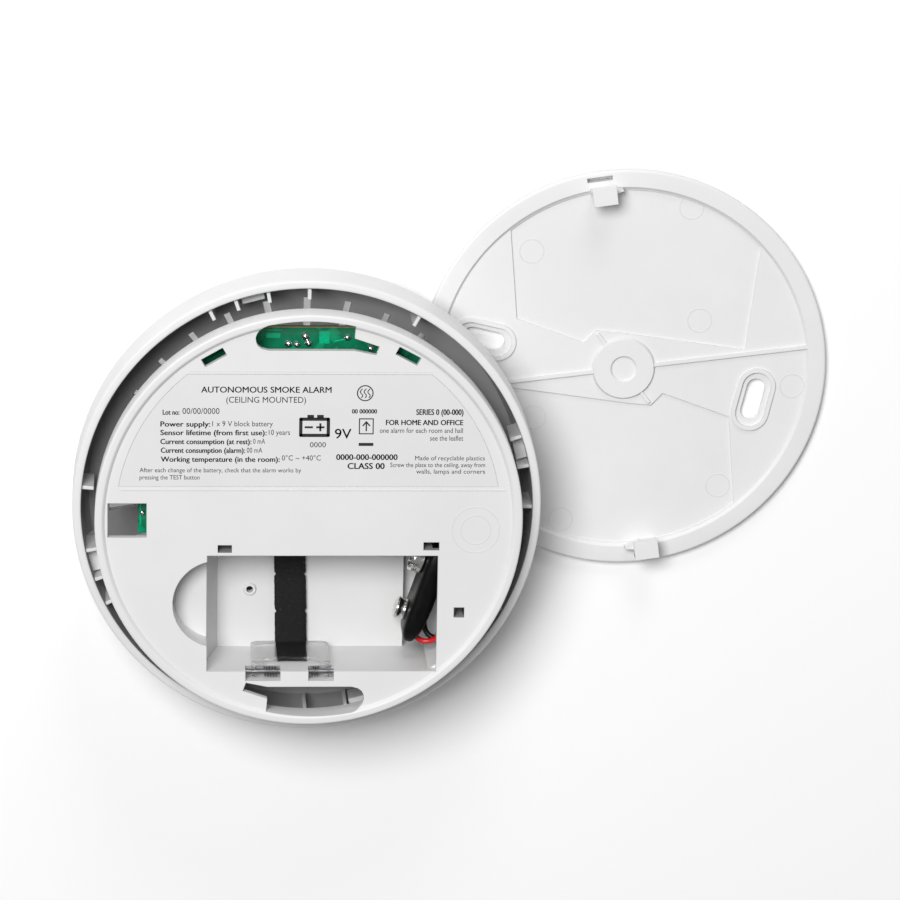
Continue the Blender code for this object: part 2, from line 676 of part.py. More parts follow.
def transistor():
    """Small D-shaped package on three legs."""
    plan = arc(2.3, -50.0, 230.0, 10, (27.0, 31.2))
    body = outline("transistor", plan, 19.4, 24.0, mat=((0.03, 0.03, 0.03), 0.5))
    join(body, legs_mesh("transistor_legs", ((25.7, 31.2), (27.0, 31.2), (28.3, 31.2)), 23.5,
                         PCB_Z - GAP))
    return body


def test_switch():
    """Key switch that the button's stem presses."""
    x, y = BUTTON
    body = box("test_switch", x - 3.0, x + 3.0, y - 2.1, y + 2.5, 22.2, PCB_Z - GAP,
               mat=((0.04, 0.04, 0.045), 0.45))
    join(body, cylinder("switch_key", x, y, 20.2, 22.6, 1.6))
    return body


def status_light():
    """Light-emitting diode on two legs and the clear pipe below it."""
    x, y = LIGHT_PIPE
    profile = [(0.0, 21.6), (1.75, 21.6), (1.75, 20.9), (1.5, 20.8), (1.5, 18.4), (1.1, 17.5),
               (0.0, 17.1)]
    led = turned("status_led", profile, ((0.7, 0.05, 0.04), 0.2), at=(x, y), steps=16)
    join(led, legs_mesh("led_legs", ((x - 0.9, y), (x + 0.9, y)), 21.0, PCB_Z - GAP))
    pipe = [(0.0, 16.8), (1.5, 16.8), (1.5, 3.3), (2.6, 3.3), (2.6, 2.3), (1.5, 2.3), (1.5, 0.5),
            (0.0, 0.5)]
    turned("light_pipe", pipe, ((0.85, 0.9, 0.9), 0.1, 0.0, 0.5), at=(x, y), steps=16)


def circuit():
    """All pieces carried by the board."""
    pcb()
    board_screws()
    detector_ic()
    can("capacitor_large", 27.6, 13.6, 4.0, 11.0, (0.03, 0.04, 0.09))
    can("capacitor_small", 26.6, 24.2, 2.5, 7.0, (0.03, 0.04, 0.09))
    inductor_coil()
    resistors()
    transistor()
    test_switch()
    status_light()


# --------------------------------------------------------------- smoke chamber
def chamber():
    """Light-tight chamber of bent vanes, its cap and its insect screen."""
    x, y = CHAMBER
    black = ((0.015, 0.015, 0.016), 0.6)
    base = cylinder("chamber_base", x, y, 24.3, PCB_Z - GAP, CHAMBER_R, segments=36, mat=black)
    bm = bmesh.new()
    for k in range(14):
        spot = polar(14.2, 360.0 * k / 14, CHAMBER)
        turn = 360.0 * k / 14 + 52.0
        add_box(bm, spot[0] - 2.6, spot[0] + 2.6, spot[1] - 0.5, spot[1] + 0.5, 14.8, 24.8,
                turn=turn, about=spot)
    join(base, add("vanes", to_mesh(bm, "vanes")))
    lid = [(0.0, 13.3), (16.4, 13.3), (16.4, 14.5), (CHAMBER_R, 14.5), (CHAMBER_R, 12.3),
           (CHAMBER_R - 0.5, 12.0), (0.0, 12.0)]
    turned("chamber_cover", lid, black, at=CHAMBER, steps=36)
    wall = [(17.75, 25.6), (18.15, 25.6), (18.15, 12.2), (17.75, 12.2)]
    screen = turned("insect_screen", wall, ((0.45, 0.45, 0.46), 0.4, 1.0), at=CHAMBER, steps=36)
    bm = bmesh.new()
    for k in range(20):
        angle = 18.0 * k
        start = CHAMBER[0] + 16.0
        add_box(bm, start, start + 4.0, y - 1.0, y + 1.0, 15.0, 23.0, turn=angle, about=CHAMBER)
    cut(screen, add("screen_slots", to_mesh(bm, "screen_slots")))


def optical_pair():
    """Infrared emitter and photodiode, aimed across the chamber, and a metal shield."""
    profile = [(0.0, 11.2), (2.9, 11.2), (2.9, 10.3), (2.5, 10.2), (2.5, 6.4), (1.9, 4.9),
               (1.0, 4.2), (0.0, 4.0)]
    for name, angle, colour in (("infrared_emitter", 200.0, (0.35, 0.4, 0.6)),
                                ("photodiode", 335.0, (0.05, 0.04, 0.06))):
        piece = turned(name, profile, (colour, 0.15), steps=16)
        lay = Matrix.Rotation(math.radians(90.0), 4, "Y")
        swing = Matrix.Rotation(math.radians(angle), 4, "Z")
        place = Matrix.Translation(Vector((*CHAMBER, 19.2)) * MM)
        piece.data.transform(place @ swing @ lay)
        bm = bmesh.new()
        for side in (-1.2, 1.2):
            start = CHAMBER[0] + 10.8
            add_box(bm, start, start + 0.5, CHAMBER[1] + side - 0.25, CHAMBER[1] + side + 0.25,
                    19.0, 24.0, turn=angle, about=CHAMBER)
        join(piece, add(name + "_legs", to_mesh(bm, name + "_legs")))
    bm = bmesh.new()
    start = CHAMBER[0] + 5.2
    add_box(bm, start, start + 5.0, CHAMBER[1] - 3.3, CHAMBER[1] + 3.3, 16.0, 22.8, turn=335.0,
            about=CHAMBER)
    shield = add("photodiode_shield", to_mesh(bm, "shield"), ((0.6, 0.6, 0.6), 0.35, 1.0))
    bm = bmesh.new()
    add_box(bm, start - 1.0, start + 6.0, CHAMBER[1] - 2.9, CHAMBER[1] + 2.9, 16.4, 24.0,
            turn=335.0, about=CHAMBER)
    cut(shield, add("shield_cut", to_mesh(bm, "shield_cut")))


# --------------------------------------------------------------------- sounder
def sounder():
    """Horn cup under the bay, its piezo disc and two contact strips."""
    horn = [(3.0, 10.6), (3.0, 12.0), (10.2, 12.0), (10.2, 13.2), (10.9, 13.2), (10.9, 14.2),
            (11.8, 14.2), (11.8, 11.2), (11.2, 10.6)]
    turned("sounder_horn", horn, ((0.03, 0.03, 0.03), 0.5), at=HORN, steps=28)
    disc = [(0.0, 14.3), (7.0, 14.3), (7.0, 14.0), (10.5, 14.0), (10.5, 13.6), (0.0, 13.6)]
    turned("piezo_disc", disc, ((0.75, 0.6, 0.25), 0.3, 1.0), at=HORN, steps=24)
    for name, x in (("sounder_contact_left", -7.2), ("sounder_contact_right", 7.2)):
        path = [(-5.6, PCB_Z - GAP), (-5.6, 14.9), (-14.6, 14.9), (-14.6, 14.6), (-5.0, 14.6),
                (-5.0, PCB_Z - GAP)]
        half = 0.9
        outline(name, path[::-1], x - half, x + half, plane="YZ", mat=((0.7, 0.55, 0.25), 0.3, 1.0))


# ------------------------------------------------------- snap connector and leads
CONNECTOR = (27.0, -20.0, 24.6)
CONNECTOR_TURN = 71.5


def connector_frame():
    """Frame of the connector: X along its length, Y out of its contact face."""
    return (Matrix.Translation(Vector(CONNECTOR) * MM)
            @ Matrix.Rotation(math.radians(CONNECTOR_TURN), 4, "Z"))


def connector():
    """Moulded boot with two press studs on its face."""
    plan = [(-12.4, -0.6), (-9.5, -2.0), (-5.0, -2.9), (0.0, -3.2), (5.0, -2.9), (9.5, -2.0),
            (12.4, -0.6), (12.7, 0.4), (12.2, 1.2), (9.0, 2.1), (-9.0, 2.1), (-12.2, 1.2),
            (-12.7, 0.4)]
    mesh = outline_mesh("connector_boot", plan, -6.2, 6.2)
    mesh.transform(connector_frame())
    add("connector_boot", mesh, ((0.02, 0.02, 0.02), 0.45))
    out = Matrix.Rotation(math.radians(-90.0), 4, "X")
    stud = [(0.0, 3.1), (2.3, 3.1), (2.75, 2.7), (2.75, 2.1), (2.3, 1.6), (2.3, 0.3), (0.0, 0.3)]
    cup = [(0.0, 1.0), (2.3, 1.0), (2.3, 3.1), (2.9, 3.1), (3.3, 2.7), (3.3, 0.3), (0.0, 0.3)]
    for name, profile, along in (("snap_stud", stud, -6.35), ("snap_socket", cup, 6.35)):
        piece = turned(name, profile, ((0.7, 0.7, 0.7), 0.25, 1.0), steps=16)
        base = Matrix.Translation(Vector((along, 2.1, 0.0)) * MM)
        piece.data.transform(connector_frame() @ base @ out)


def leads():
    """Red and black leads from the boot, under the face, to the board."""
    red = [(25.15, -31.05, 26.4), (26.2, -32.0, 26.4), (28.0, -32.4, 26.6), (30.2, -31.2, 27.4),
           (31.6, -27.6, 29.6), (31.9, -22.0, 31.8), (31.9, -14.0, 32.4), (31.7, -6.0, 32.2),
           (31.6, -3.4, 30.6), (31.6, -3.0, 27.9)]
    black = [(27.4, -27.8, 22.0), (27.5, -29.1, 22.0), (27.7, -30.7, 22.2), (28.4, -32.0, 22.6),
             (30.2, -32.8, 23.3), (32.0, -32.0, 24.1), (32.8, -30.2, 25.0), (33.1, -27.2, 26.6),
             (33.2, -20.0, 29.0), (33.2, -12.0, 30.0), (33.2, -8.0, 30.4), (33.5, -5.0, 30.4),
             (34.0, -3.2, 29.6), (34.2, -2.4, 27.9)]
    for name, knots, colour in (("red_lead", red, (0.55, 0.02, 0.02)),
                                ("black_lead", black, (0.02, 0.02, 0.02))):
        add(name, tube_mesh(name, smooth_path(knots, 2.2), 1.3), (colour, 0.4))


# --------------------------------------------------------------- mounting plate
def plate_shell():
    """Turned plate with a raised band round its edge and a low hub."""
    band = PLATE_R - PLATE_RIM_WIDTH
    profile = [
        (0.0, 2.2), (2.9, 2.2), (3.2, 2.7), (7.0, 2.7), (7.4, PLATE_THICK), (band - 0.6, PLATE_THICK),
        (band, PLATE_RIM_Z), (PLATE_R - 0.5, PLATE_RIM_Z), (PLATE_R, PLATE_RIM_Z - 0.5),
        (PLATE_R, 0.4), (PLATE_R - 0.4, 0.0), (0.0, 0.0),
    ]
    return turned("mounting_plate", profile, ((0.87, 0.87, 0.86), 0.5), root=PLATE)


def hook(number):
    """Bayonet hook: a neck and a head that overhangs to one side."""
    turn = HOOK_TURN + 180.0 * number
    bm = bmesh.new()
    add_box(bm, -2.9, 1.4, HOOK_R - 0.7, HOOK_R + 0.8, 1.0, 7.9, turn=turn)
    neck = add("hook_neck_%d" % number, to_mesh(bm, "neck"), root=PLATE)
    bm = bmesh.new()
    add_box(bm, -2.8, 2.8, HOOK_R - 2.2, HOOK_R + 2.0, 7.0, 8.8, turn=turn)
    head = add("hook_head_%d" % number, to_mesh(bm, "head"), root=PLATE)
    gusset = [(1.0, 42.1), (4.8, 42.9), (1.0, 43.6)]
    spin = math.radians(turn)
    placed = [(u * math.cos(spin) - v * math.sin(spin), u * math.sin(spin) + v * math.cos(spin))
              for u, v in gusset]
    return neck, head, outline("gusset_%d" % number, placed, 1.0, 5.6, root=PLATE)


def hook_slits():
    """Narrow slits through the edge band behind the hooks."""
    bm = bmesh.new()
    for number in range(2):
        add_box(bm, -3.3, 2.6, 45.15, 46.2, -1.0, 9.0, turn=HOOK_TURN + 180.0 * number)
    return add("hook_slits", to_mesh(bm, "hook_slits"), root=PLATE)


def plate_ribs():
    """Thin straight ribs from the hub to the edge band, and small tabs by the hub."""
    bm = bmesh.new()
    add_box(bm, -44.3, -6.0, -0.4, 0.4, 1.0, 2.4, turn=PLATE_RIB_TURN)
    add_box(bm, 6.0, 44.3, -0.4, 0.4, 1.0, 2.4, turn=PLATE_RIB_TURN)
    for turn in (127.0, 307.0):
        add_box(bm, 6.5, 10.4, -0.4, 0.4, 1.0, 2.3, turn=turn)
    return add("plate_ribs", to_mesh(bm, "plate_ribs"), root=PLATE)


def rounded_slot(length, width, turn, at, low, high, name):
    """Slot with round ends."""
    half = 0.5 * (length - width)
    plan = arc(0.5 * width, -90.0, 90.0, 8, (half, 0.0))
    plan += arc(0.5 * width, 90.0, 270.0, 8, (-half, 0.0))
    spin = math.radians(turn)
    placed = [(at[0] + u * math.cos(spin) - v * math.sin(spin),
               at[1] + u * math.sin(spin) + v * math.cos(spin)) for u, v in plan]
    return outline(name, placed, low, high, root=PLATE)


def sector(number):
    """Shallow sunk field between the hub and the edge band."""
    plan = [(-1.1, 8.5), (-6.7, 9.0), (-9.4, 6.1), (-25.2, 11.8), (-27.1, 32.9)]
    plan += arc(42.6, 128.5, 42.9, 10)
    plan += [(28.3, 4.5)]
    if number:
        plan = [(-u, -v) for u, v in plan]
    return outline("sector_%d" % number, plan, 1.3, 9.0, root=PLATE)


def mounting_plate():
    """Bayonet plate with two countersunk screw slots."""
    plate = plate_shell()
    cut(plate, sector(0), sector(1), hook_slits())
    join(plate, plate_ribs())
    for number in range(2):
        join(plate, *hook(number))
    places = ((30.7, -7.5, 77.0), (-32.8, 6.9, -13.0))
    for number, (x, y, turn) in enumerate(places):
        pad = rounded_slot(15.2, 8.8, turn, (x, y), 1.0, 2.3, "pad_%d" % number)
        sink = rounded_slot(13.2, 6.8, turn, (x, y), 1.5, 9.0, "sink_%d" % number)
        hole = rounded_slot(10.0, 4.4, turn, (x, y), -1.0, 9.0, "hole_%d" % number)
        join(plate, pad)
        cut(plate, sink, hole)
    return plate


front_cover()
back_cover()
rating_label()
test_button()
springs()
battery_flag()
foam_strip()
circuit()
chamber()
optical_pair()
sounder()
connector()
leads()
mounting_plate()
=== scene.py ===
"""Looks for the ceiling smoke detector: head face down, bayonet plate beside it."""
import json
import math
import random

import bmesh
import bpy
from mathutils import Matrix, Vector


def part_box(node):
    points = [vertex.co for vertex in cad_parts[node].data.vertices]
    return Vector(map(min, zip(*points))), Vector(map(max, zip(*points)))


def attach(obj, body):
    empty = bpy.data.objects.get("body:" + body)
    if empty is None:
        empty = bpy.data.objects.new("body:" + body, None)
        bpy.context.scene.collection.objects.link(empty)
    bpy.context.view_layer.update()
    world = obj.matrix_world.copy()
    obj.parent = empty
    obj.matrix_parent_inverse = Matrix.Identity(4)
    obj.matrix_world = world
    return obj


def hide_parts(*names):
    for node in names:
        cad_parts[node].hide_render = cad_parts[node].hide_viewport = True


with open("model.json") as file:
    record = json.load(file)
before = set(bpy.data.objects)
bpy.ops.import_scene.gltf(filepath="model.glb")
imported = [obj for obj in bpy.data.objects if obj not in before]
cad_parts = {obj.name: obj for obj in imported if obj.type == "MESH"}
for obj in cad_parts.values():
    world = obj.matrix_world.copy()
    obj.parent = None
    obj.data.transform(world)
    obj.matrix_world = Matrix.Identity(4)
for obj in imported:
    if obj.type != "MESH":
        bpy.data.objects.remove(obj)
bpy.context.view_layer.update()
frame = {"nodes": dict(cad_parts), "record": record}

MM = 0.001
CURVE_STEPS = 40            # fine steps between two knots of a lead


def centre(node):
    low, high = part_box(node)
    return 0.5 * (low[0] + high[0]), 0.5 * (low[1] + high[1])


HEAD = centre("front_cover")
PLATE = centre("mounting_plate")
SCENE = bpy.context.scene.collection
BIG = 192


# ------------------------------------------------------------------ materials
class Nodes:
    """Small helper that builds one node material."""

    def __init__(self, name, colour=(0.8, 0.8, 0.8), roughness=0.5, metallic=0.0):
        self.mat = bpy.data.materials.new(name)
        self.mat.use_nodes = True
        self.tree = self.mat.node_tree
        self.shader = self.tree.nodes["Principled BSDF"]
        self.set("Base Color", (*colour, 1.0))
        self.set("Roughness", roughness)
        self.set("Metallic", metallic)

    def set(self, socket, value):
        self.shader.inputs[socket].default_value = value

    def node(self, kind, **values):
        node = self.tree.nodes.new(kind)
        for key, value in values.items():
            setattr(node, key, value)
        return node

    def link(self, source, target):
        self.tree.links.new(source, target)

    def coords(self):
        return self.node("ShaderNodeTexCoord").outputs["Object"]

    def noise(self, scale, detail=3.0, rough=0.5):
        noise = self.node("ShaderNodeTexNoise")
        noise.inputs["Scale"].default_value = scale
        noise.inputs["Detail"].default_value = detail
        noise.inputs["Roughness"].default_value = rough
        self.link(self.coords(), noise.inputs["Vector"])
        return noise.outputs["Fac"]

    def ramp(self, value, stops):
        ramp = self.node("ShaderNodeValToRGB")
        ramp.color_ramp.elements[0].position = stops[0][0]
        ramp.color_ramp.elements[0].color = (*stops[0][1], 1.0)
        ramp.color_ramp.elements[1].position = stops[-1][0]
        ramp.color_ramp.elements[1].color = (*stops[-1][1], 1.0)
        for position, colour in stops[1:-1]:
            ramp.color_ramp.elements.new(position).color = (*colour, 1.0)
        self.link(value, ramp.inputs["Fac"])
        return ramp.outputs["Color"]

    def range(self, value, low, high):
        """Spread the middle of a noise value between two limits."""
        span = self.node("ShaderNodeMapRange")
        span.inputs["From Min"].default_value = 0.3
        span.inputs["From Max"].default_value = 0.7
        span.inputs["To Min"].default_value = low
        span.inputs["To Max"].default_value = high
        self.link(value, span.inputs["Value"])
        return span.outputs["Result"]

    def bump(self, height, strength, distance, before):
        bump = self.node("ShaderNodeBump")
        bump.inputs["Strength"].default_value = strength
        bump.inputs["Distance"].default_value = distance
        self.link(height, bump.inputs["Height"])
        self.link(before, bump.inputs["Normal"])
        return bump.outputs["Normal"]

    def rounded(self, radius):
        """Normal that softens edges as a moulded or stamped piece has them."""
        bevel = self.node("ShaderNodeBevel")
        bevel.samples = 4
        bevel.inputs["Radius"].default_value = radius
        return bevel.outputs["Normal"]


def moulded(name, tone, rough, grain=0.06, edge=0.00022, tint=(1.0, 1.0, 0.998)):
    """Off-white injection-moulded plastic: fine eggshell grain, faint flow and dust tone."""
    m = Nodes(name, tuple(tone * t for t in tint), rough)
    flow = m.noise(38.0, 4.0, 0.6)
    light = tuple(min(1.0, tone * 1.015) * t for t in tint)
    dark = tuple(tone * 0.972 * t for t in tint)
    m.link(m.ramp(flow, [(0.3, dark), (0.7, light)]), m.shader.inputs["Base Color"])
    patch = m.noise(210.0, 3.0, 0.6)
    m.link(m.range(patch, rough - 0.05, rough + 0.06), m.shader.inputs["Roughness"])
    fine = m.noise(2600.0, 3.0, 0.6)
    normal = m.bump(fine, grain, 0.00004, m.rounded(edge))
    m.link(normal, m.shader.inputs["Normal"])
    m.set("Specular IOR Level", 0.42)
    return m.mat


def plain(name, colour, rough, metallic=0.0, spread=0.12, scale=300.0, grain=0.1, edge=0.0002,
          specular=0.5):
    """A tinted surface with uneven tone, roughness and a fine bump."""
    m = Nodes(name, colour, rough, metallic)
    m.set("Specular IOR Level", specular)
    tone = m.noise(scale, 4.0, 0.6)
    low = tuple(c * (1.0 - spread) for c in colour)
    high = tuple(min(1.0, c * (1.0 + spread)) for c in colour)
    m.link(m.ramp(tone, [(0.3, low), (0.7, high)]), m.shader.inputs["Base Color"])
    m.link(m.range(m.noise(scale * 2.3), max(0.02, rough - 0.08), rough + 0.08),
           m.shader.inputs["Roughness"])
    m.link(m.bump(m.noise(scale * 6.0), grain, 0.00005, m.rounded(edge)), m.shader.inputs["Normal"])
    return m.mat


def clear(name, colour, rough, alpha_mix):
    """Clear moulded plastic with faint scuffs."""
    m = Nodes(name, colour, rough)
    m.set("Transmission Weight", 1.0)
    m.set("IOR", 1.46)
    m.set("Alpha", alpha_mix)
    m.link(m.range(m.noise(900.0), rough * 0.6, rough * 1.6), m.shader.inputs["Roughness"])
    m.link(m.bump(m.noise(500.0), 0.05, 0.00004, m.rounded(0.00025)), m.shader.inputs["Normal"])
    return m.mat


def board_green():
    """Solder mask: deep green over fibre cloth, with lighter copper pours beneath it."""
    m = Nodes("board_green", (0.0, 0.3, 0.16), 0.3)
    cells = m.node("ShaderNodeTexVoronoi", feature="F1", distance="MANHATTAN")
    cells.inputs["Scale"].default_value = 210.0
    m.link(m.coords(), cells.inputs["Vector"])
    base = m.ramp(cells.outputs["Distance"],
                  [(0.0, (0.002, 0.36, 0.17)), (0.42, (0.001, 0.27, 0.12)),
                   (0.5, (0.0, 0.16, 0.075)), (1.0, (0.0, 0.2, 0.09))])
    m.link(base, m.shader.inputs["Base Color"])
    weave = m.node("ShaderNodeTexWave")
    weave.inputs["Scale"].default_value = 900.0
    m.link(m.coords(), weave.inputs["Vector"])
    m.link(m.bump(weave.outputs["Fac"], 0.08, 0.00004, m.rounded(0.0002)),
           m.shader.inputs["Normal"])
    m.set("Coat Weight", 0.4)
    return m.mat


def foam_black():
    """Dark closed-cell pad with pale lint on it."""
    m = Nodes("foam_black", (0.01, 0.01, 0.011), 0.8)
    m.set("Specular IOR Level", 0.2)
    speck = m.noise(1500.0, 2.0, 0.5)
    m.link(m.ramp(speck, [(0.0, (0.008, 0.008, 0.009)), (0.62, (0.013, 0.013, 0.014)),
                          (0.74, (0.022, 0.022, 0.022)), (0.82, (0.1, 0.1, 0.1))]),
           m.shader.inputs["Base Color"])
    cells = m.node("ShaderNodeTexVoronoi")
    cells.inputs["Scale"].default_value = 2600.0
    m.link(m.coords(), cells.inputs["Vector"])
    m.link(m.bump(cells.outputs["Distance"], 0.4, 0.0001, m.rounded(0.0003)),
           m.shader.inputs["Normal"])
    return m.mat


COVER = moulded("cover_plastic", 0.73, 0.42)
PLATE_MAT = moulded("plate_plastic", 0.76, 0.46, grain=0.25)
BUTTON_MAT = moulded("button_plastic", 0.69, 0.36)
# darker copy of the cover plastic: painted shade for the shell's inner faces, hinge wells and small
# windows
COVER_PAINTED_SHADE = moulded("cover_painted_shade", 0.34, 0.6)
RELIEF = moulded("cover_relief", 0.70, 0.42, edge=0.00003)
LABEL = moulded("label_sheet", 0.71, 0.36, grain=0.02, edge=0.0001)
INK = plain("ink", (0.012, 0.012, 0.013), 0.55, spread=0.25, scale=2500.0, grain=0.05,
            edge=0.00002)
CLEAR = clear("clear_flag", (0.8, 0.81, 0.81), 0.08, 0.62)
STEEL = plain("steel", (0.62, 0.62, 0.63), 0.28, 1.0, scale=900.0)
# steel darkened to paint the shade on the hinge pin and coils in their recess
STEEL_PAINTED_SHADE = plain("steel_painted_shade", (0.2, 0.2, 0.21), 0.4, 1.0, scale=900.0)
NICKEL = plain("nickel", (0.78, 0.77, 0.75), 0.18, 1.0, spread=0.08, scale=700.0)
BRASS = plain("brass_sheet", (0.72, 0.55, 0.24), 0.3, 1.0)
SOLDER = plain("solder", (0.68, 0.68, 0.7), 0.2, 1.0, spread=0.3, scale=1500.0, grain=0.35)
BLACK = plain("black_package", (0.02, 0.02, 0.021), 0.5, spread=0.3, scale=800.0)
CHAMBER = plain("chamber_black", (0.012, 0.012, 0.013), 0.6, spread=0.3, scale=900.0)
SLEEVE = plain("capacitor_sleeve", (0.015, 0.02, 0.06), 0.3)
COIL = plain("coil_lacquer", (0.33, 0.13, 0.05), 0.35, scale=1200.0)
LACQUER = plain("resistor_lacquer", (0.55, 0.42, 0.27), 0.4)
RED_LED = clear("led_red", (0.8, 0.05, 0.04), 0.08, 0.95)
BLUE_LED = clear("led_blue", (0.55, 0.6, 0.8), 0.08, 0.9)
DARK_LED = plain("led_dark", (0.02, 0.015, 0.02), 0.12)
VINYL = plain("boot_vinyl", (0.003, 0.003, 0.0034), 0.36, spread=0.3, scale=400.0, grain=0.08,
              edge=0.0005, specular=0.16)
RED_VINYL = plain("red_vinyl", (0.56, 0.008, 0.012), 0.34, spread=0.1, scale=300.0, grain=0.06)
BLACK_VINYL = plain("black_vinyl", (0.004, 0.004, 0.0045), 0.34, spread=0.2, scale=300.0,
                    grain=0.06, specular=0.25)
BOARD = board_green()
BOARD_EDGE = plain("board_edge", (0.5, 0.33, 0.14), 0.6, spread=0.2, scale=1500.0)
TRACE = plain("board_trace", (0.0, 0.45, 0.22), 0.28, spread=0.1, scale=900.0)
FOAM = foam_black()

# CAD nodes that stay in view take the material of their slot
BY_SLOT = {
    "head_plastic": COVER, "plate_plastic": PLATE_MAT, "label_sheet": LABEL, "clear_plastic": CLEAR,
    "foam": FOAM, "board": BOARD, "black_package": BLACK, "capacitor_sleeve": SLEEVE,
    "coil_lacquer": COIL, "resistor_lacquer": LACQUER, "led_red": RED_LED, "led_blue": BLUE_LED,
    "led_dark": DARK_LED, "steel": STEEL, "chamber_plastic": CHAMBER, "brass_sheet": BRASS,
    "nickel": NICKEL, "boot_vinyl": VINYL, "red_vinyl": RED_VINYL,
}
SLOT_OF = {part["node"]: part["material_slot"] for part in frame["record"]["subparts"]}
for node, obj in frame["nodes"].items():
    obj.data.materials.clear()
    obj.data.materials.append(BY_SLOT[SLOT_OF[node]])
frame["nodes"]["test_button"].data.materials[0] = BUTTON_MAT


# ---------------------------------------------------------------- mesh helpers
# Sizes and places below are in millimetres from the axis of the head or of the plate.
def to_mesh(bm, name):
    mesh = bpy.data.meshes.new(name)
    bm.to_mesh(mesh)
    bm.free()
    return mesh


def smooth(mesh, angle=32.0):
    mesh.shade_smooth()
    mesh.set_sharp_from_angle(angle=math.radians(angle))


def place(name, mesh, mat, body, about=HEAD, angle=32.0, nodes=()):
    """Put a mesh made about an axis into the frame, on its body, as one piece."""
    mesh.transform(Matrix.Translation((about[0], about[1], 0.0)))
    smooth(mesh, angle)
    obj = bpy.data.objects.new(name, mesh)
    SCENE.objects.link(obj)
    mesh.materials.clear()
    mesh.materials.append(mat)
    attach(obj, body)
    if nodes:
        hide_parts(*nodes)
    return obj


def add_box(bm, x0, x1, y0, y1, z0, z1, turn=0.0, about=(0.0, 0.0)):
    size = Matrix.Diagonal(((x1 - x0) * MM, (y1 - y0) * MM, (z1 - z0) * MM, 1.0))
    middle = Vector((x0 + x1, y0 + y1, z0 + z1)) * 0.5 * MM
    pivot = Vector((about[0], about[1], 0.0)) * MM
    spin = Matrix.Translation(pivot) @ Matrix.Rotation(math.radians(turn), 4, "Z")
    spin = spin @ Matrix.Translation(-pivot)
    bmesh.ops.create_cube(bm, size=1.0, matrix=spin @ Matrix.Translation(middle) @ size)


def add_cylinder(bm, x, y, z0, z1, r, r_top=None, segments=48):
    middle = Matrix.Translation(Vector((x, y, 0.5 * (z0 + z1))) * MM)
    top = r if r_top is None else r_top
    bmesh.ops.create_cone(bm, cap_ends=True, segments=segments, radius1=r * MM,
                          radius2=top * MM, depth=(z1 - z0) * MM, matrix=middle)


def box(*limits, **kw):
    bm = bmesh.new()
    add_box(bm, *limits, **kw)
    return to_mesh(bm, "box")


def cylinder(*limits, **kw):
    bm = bmesh.new()
    add_cylinder(bm, *limits, **kw)
    return to_mesh(bm, "cylinder")


def rod(x0, x1, y, z, r, segments=32):
    bm = bmesh.new()
    lie = Matrix.Translation(Vector((0.5 * (x0 + x1), y, z)) * MM)
    lie = lie @ Matrix.Rotation(math.radians(90.0), 4, "Y")
    bmesh.ops.create_cone(bm, cap_ends=True, segments=segments, radius1=r * MM,
                          radius2=r * MM, depth=(x1 - x0) * MM, matrix=lie)
    return to_mesh(bm, "rod")


def evaluated(obj):
    bpy.context.view_layer.update()
    return bpy.data.meshes.new_from_object(obj.evaluated_get(bpy.context.evaluated_depsgraph_get()))


def turned(profile, steps=None, at=(0.0, 0.0)):
    """Solid of revolution of an (r, z) profile about a vertical axis."""
    bm = bmesh.new()
    points = [bm.verts.new((r * MM, 0.0, z * MM)) for r, z in profile]
    for first, second in zip(points, points[1:]):
        bm.edges.new((first, second))
    if profile[0][0] > 0.0:
        bm.edges.new((points[-1], points[0]))
    obj = bpy.data.objects.new("turning", to_mesh(bm, "turning"))
    SCENE.objects.link(obj)
    screw = obj.modifiers.new("screw", "SCREW")
    screw.steps = steps or BIG
    screw.render_steps = steps or BIG
    screw.use_merge_vertices = True
    screw.merge_threshold = 0.000001
    mesh = evaluated(obj)
    bpy.data.objects.remove(obj)
    mesh.transform(Matrix.Translation((at[0] * MM, at[1] * MM, 0.0)))
    return mesh


def curve_mesh(curve):
    obj = bpy.data.objects.new("curve", curve)
    SCENE.objects.link(obj)
    mesh = evaluated(obj)
    bpy.data.objects.remove(obj)
    bm = bmesh.new()
    bm.from_mesh(mesh)
    bmesh.ops.remove_doubles(bm, verts=bm.verts, dist=0.000002)
    bm.to_mesh(mesh)
    bm.free()
    return mesh


def outline(points, low, high, plane="XY"):
    """Prism over a plan; in plane XZ it runs from -high to -low along Y."""
    curve = bpy.data.curves.new("outline", "CURVE")
    curve.dimensions = "2D"
    curve.fill_mode = "BOTH"
    curve.extrude = 0.5 * (high - low) * MM
    spline = curve.splines.new("POLY")
    spline.points.add(len(points) - 1)
    for point, (u, v) in zip(spline.points, points):
        point.co = (u * MM, v * MM, 0.0, 1.0)
    spline.use_cyclic_u = True
    mesh = curve_mesh(curve)
    mesh.transform(Matrix.Translation((0.0, 0.0, 0.5 * (low + high) * MM)))
    if plane == "XZ":
        mesh.transform(Matrix(((1, 0, 0, 0), (0, 0, -1, 0), (0, 1, 0, 0), (0, 0, 0, 1))))
    return mesh


def tube(points, diameter, resolution=4):
    """Capped round tube along points."""
    curve = bpy.data.curves.new("tube", "CURVE")
    curve.dimensions = "3D"
    curve.bevel_depth = 0.5 * diameter * MM
    curve.bevel_resolution = resolution
    curve.use_fill_caps = True
    spline = curve.splines.new("POLY")
    spline.points.add(len(points) - 1)
    for point, spot in zip(spline.points, points):
        point.co = (*(Vector(spot) * MM), 1.0)
    return curve_mesh(curve)


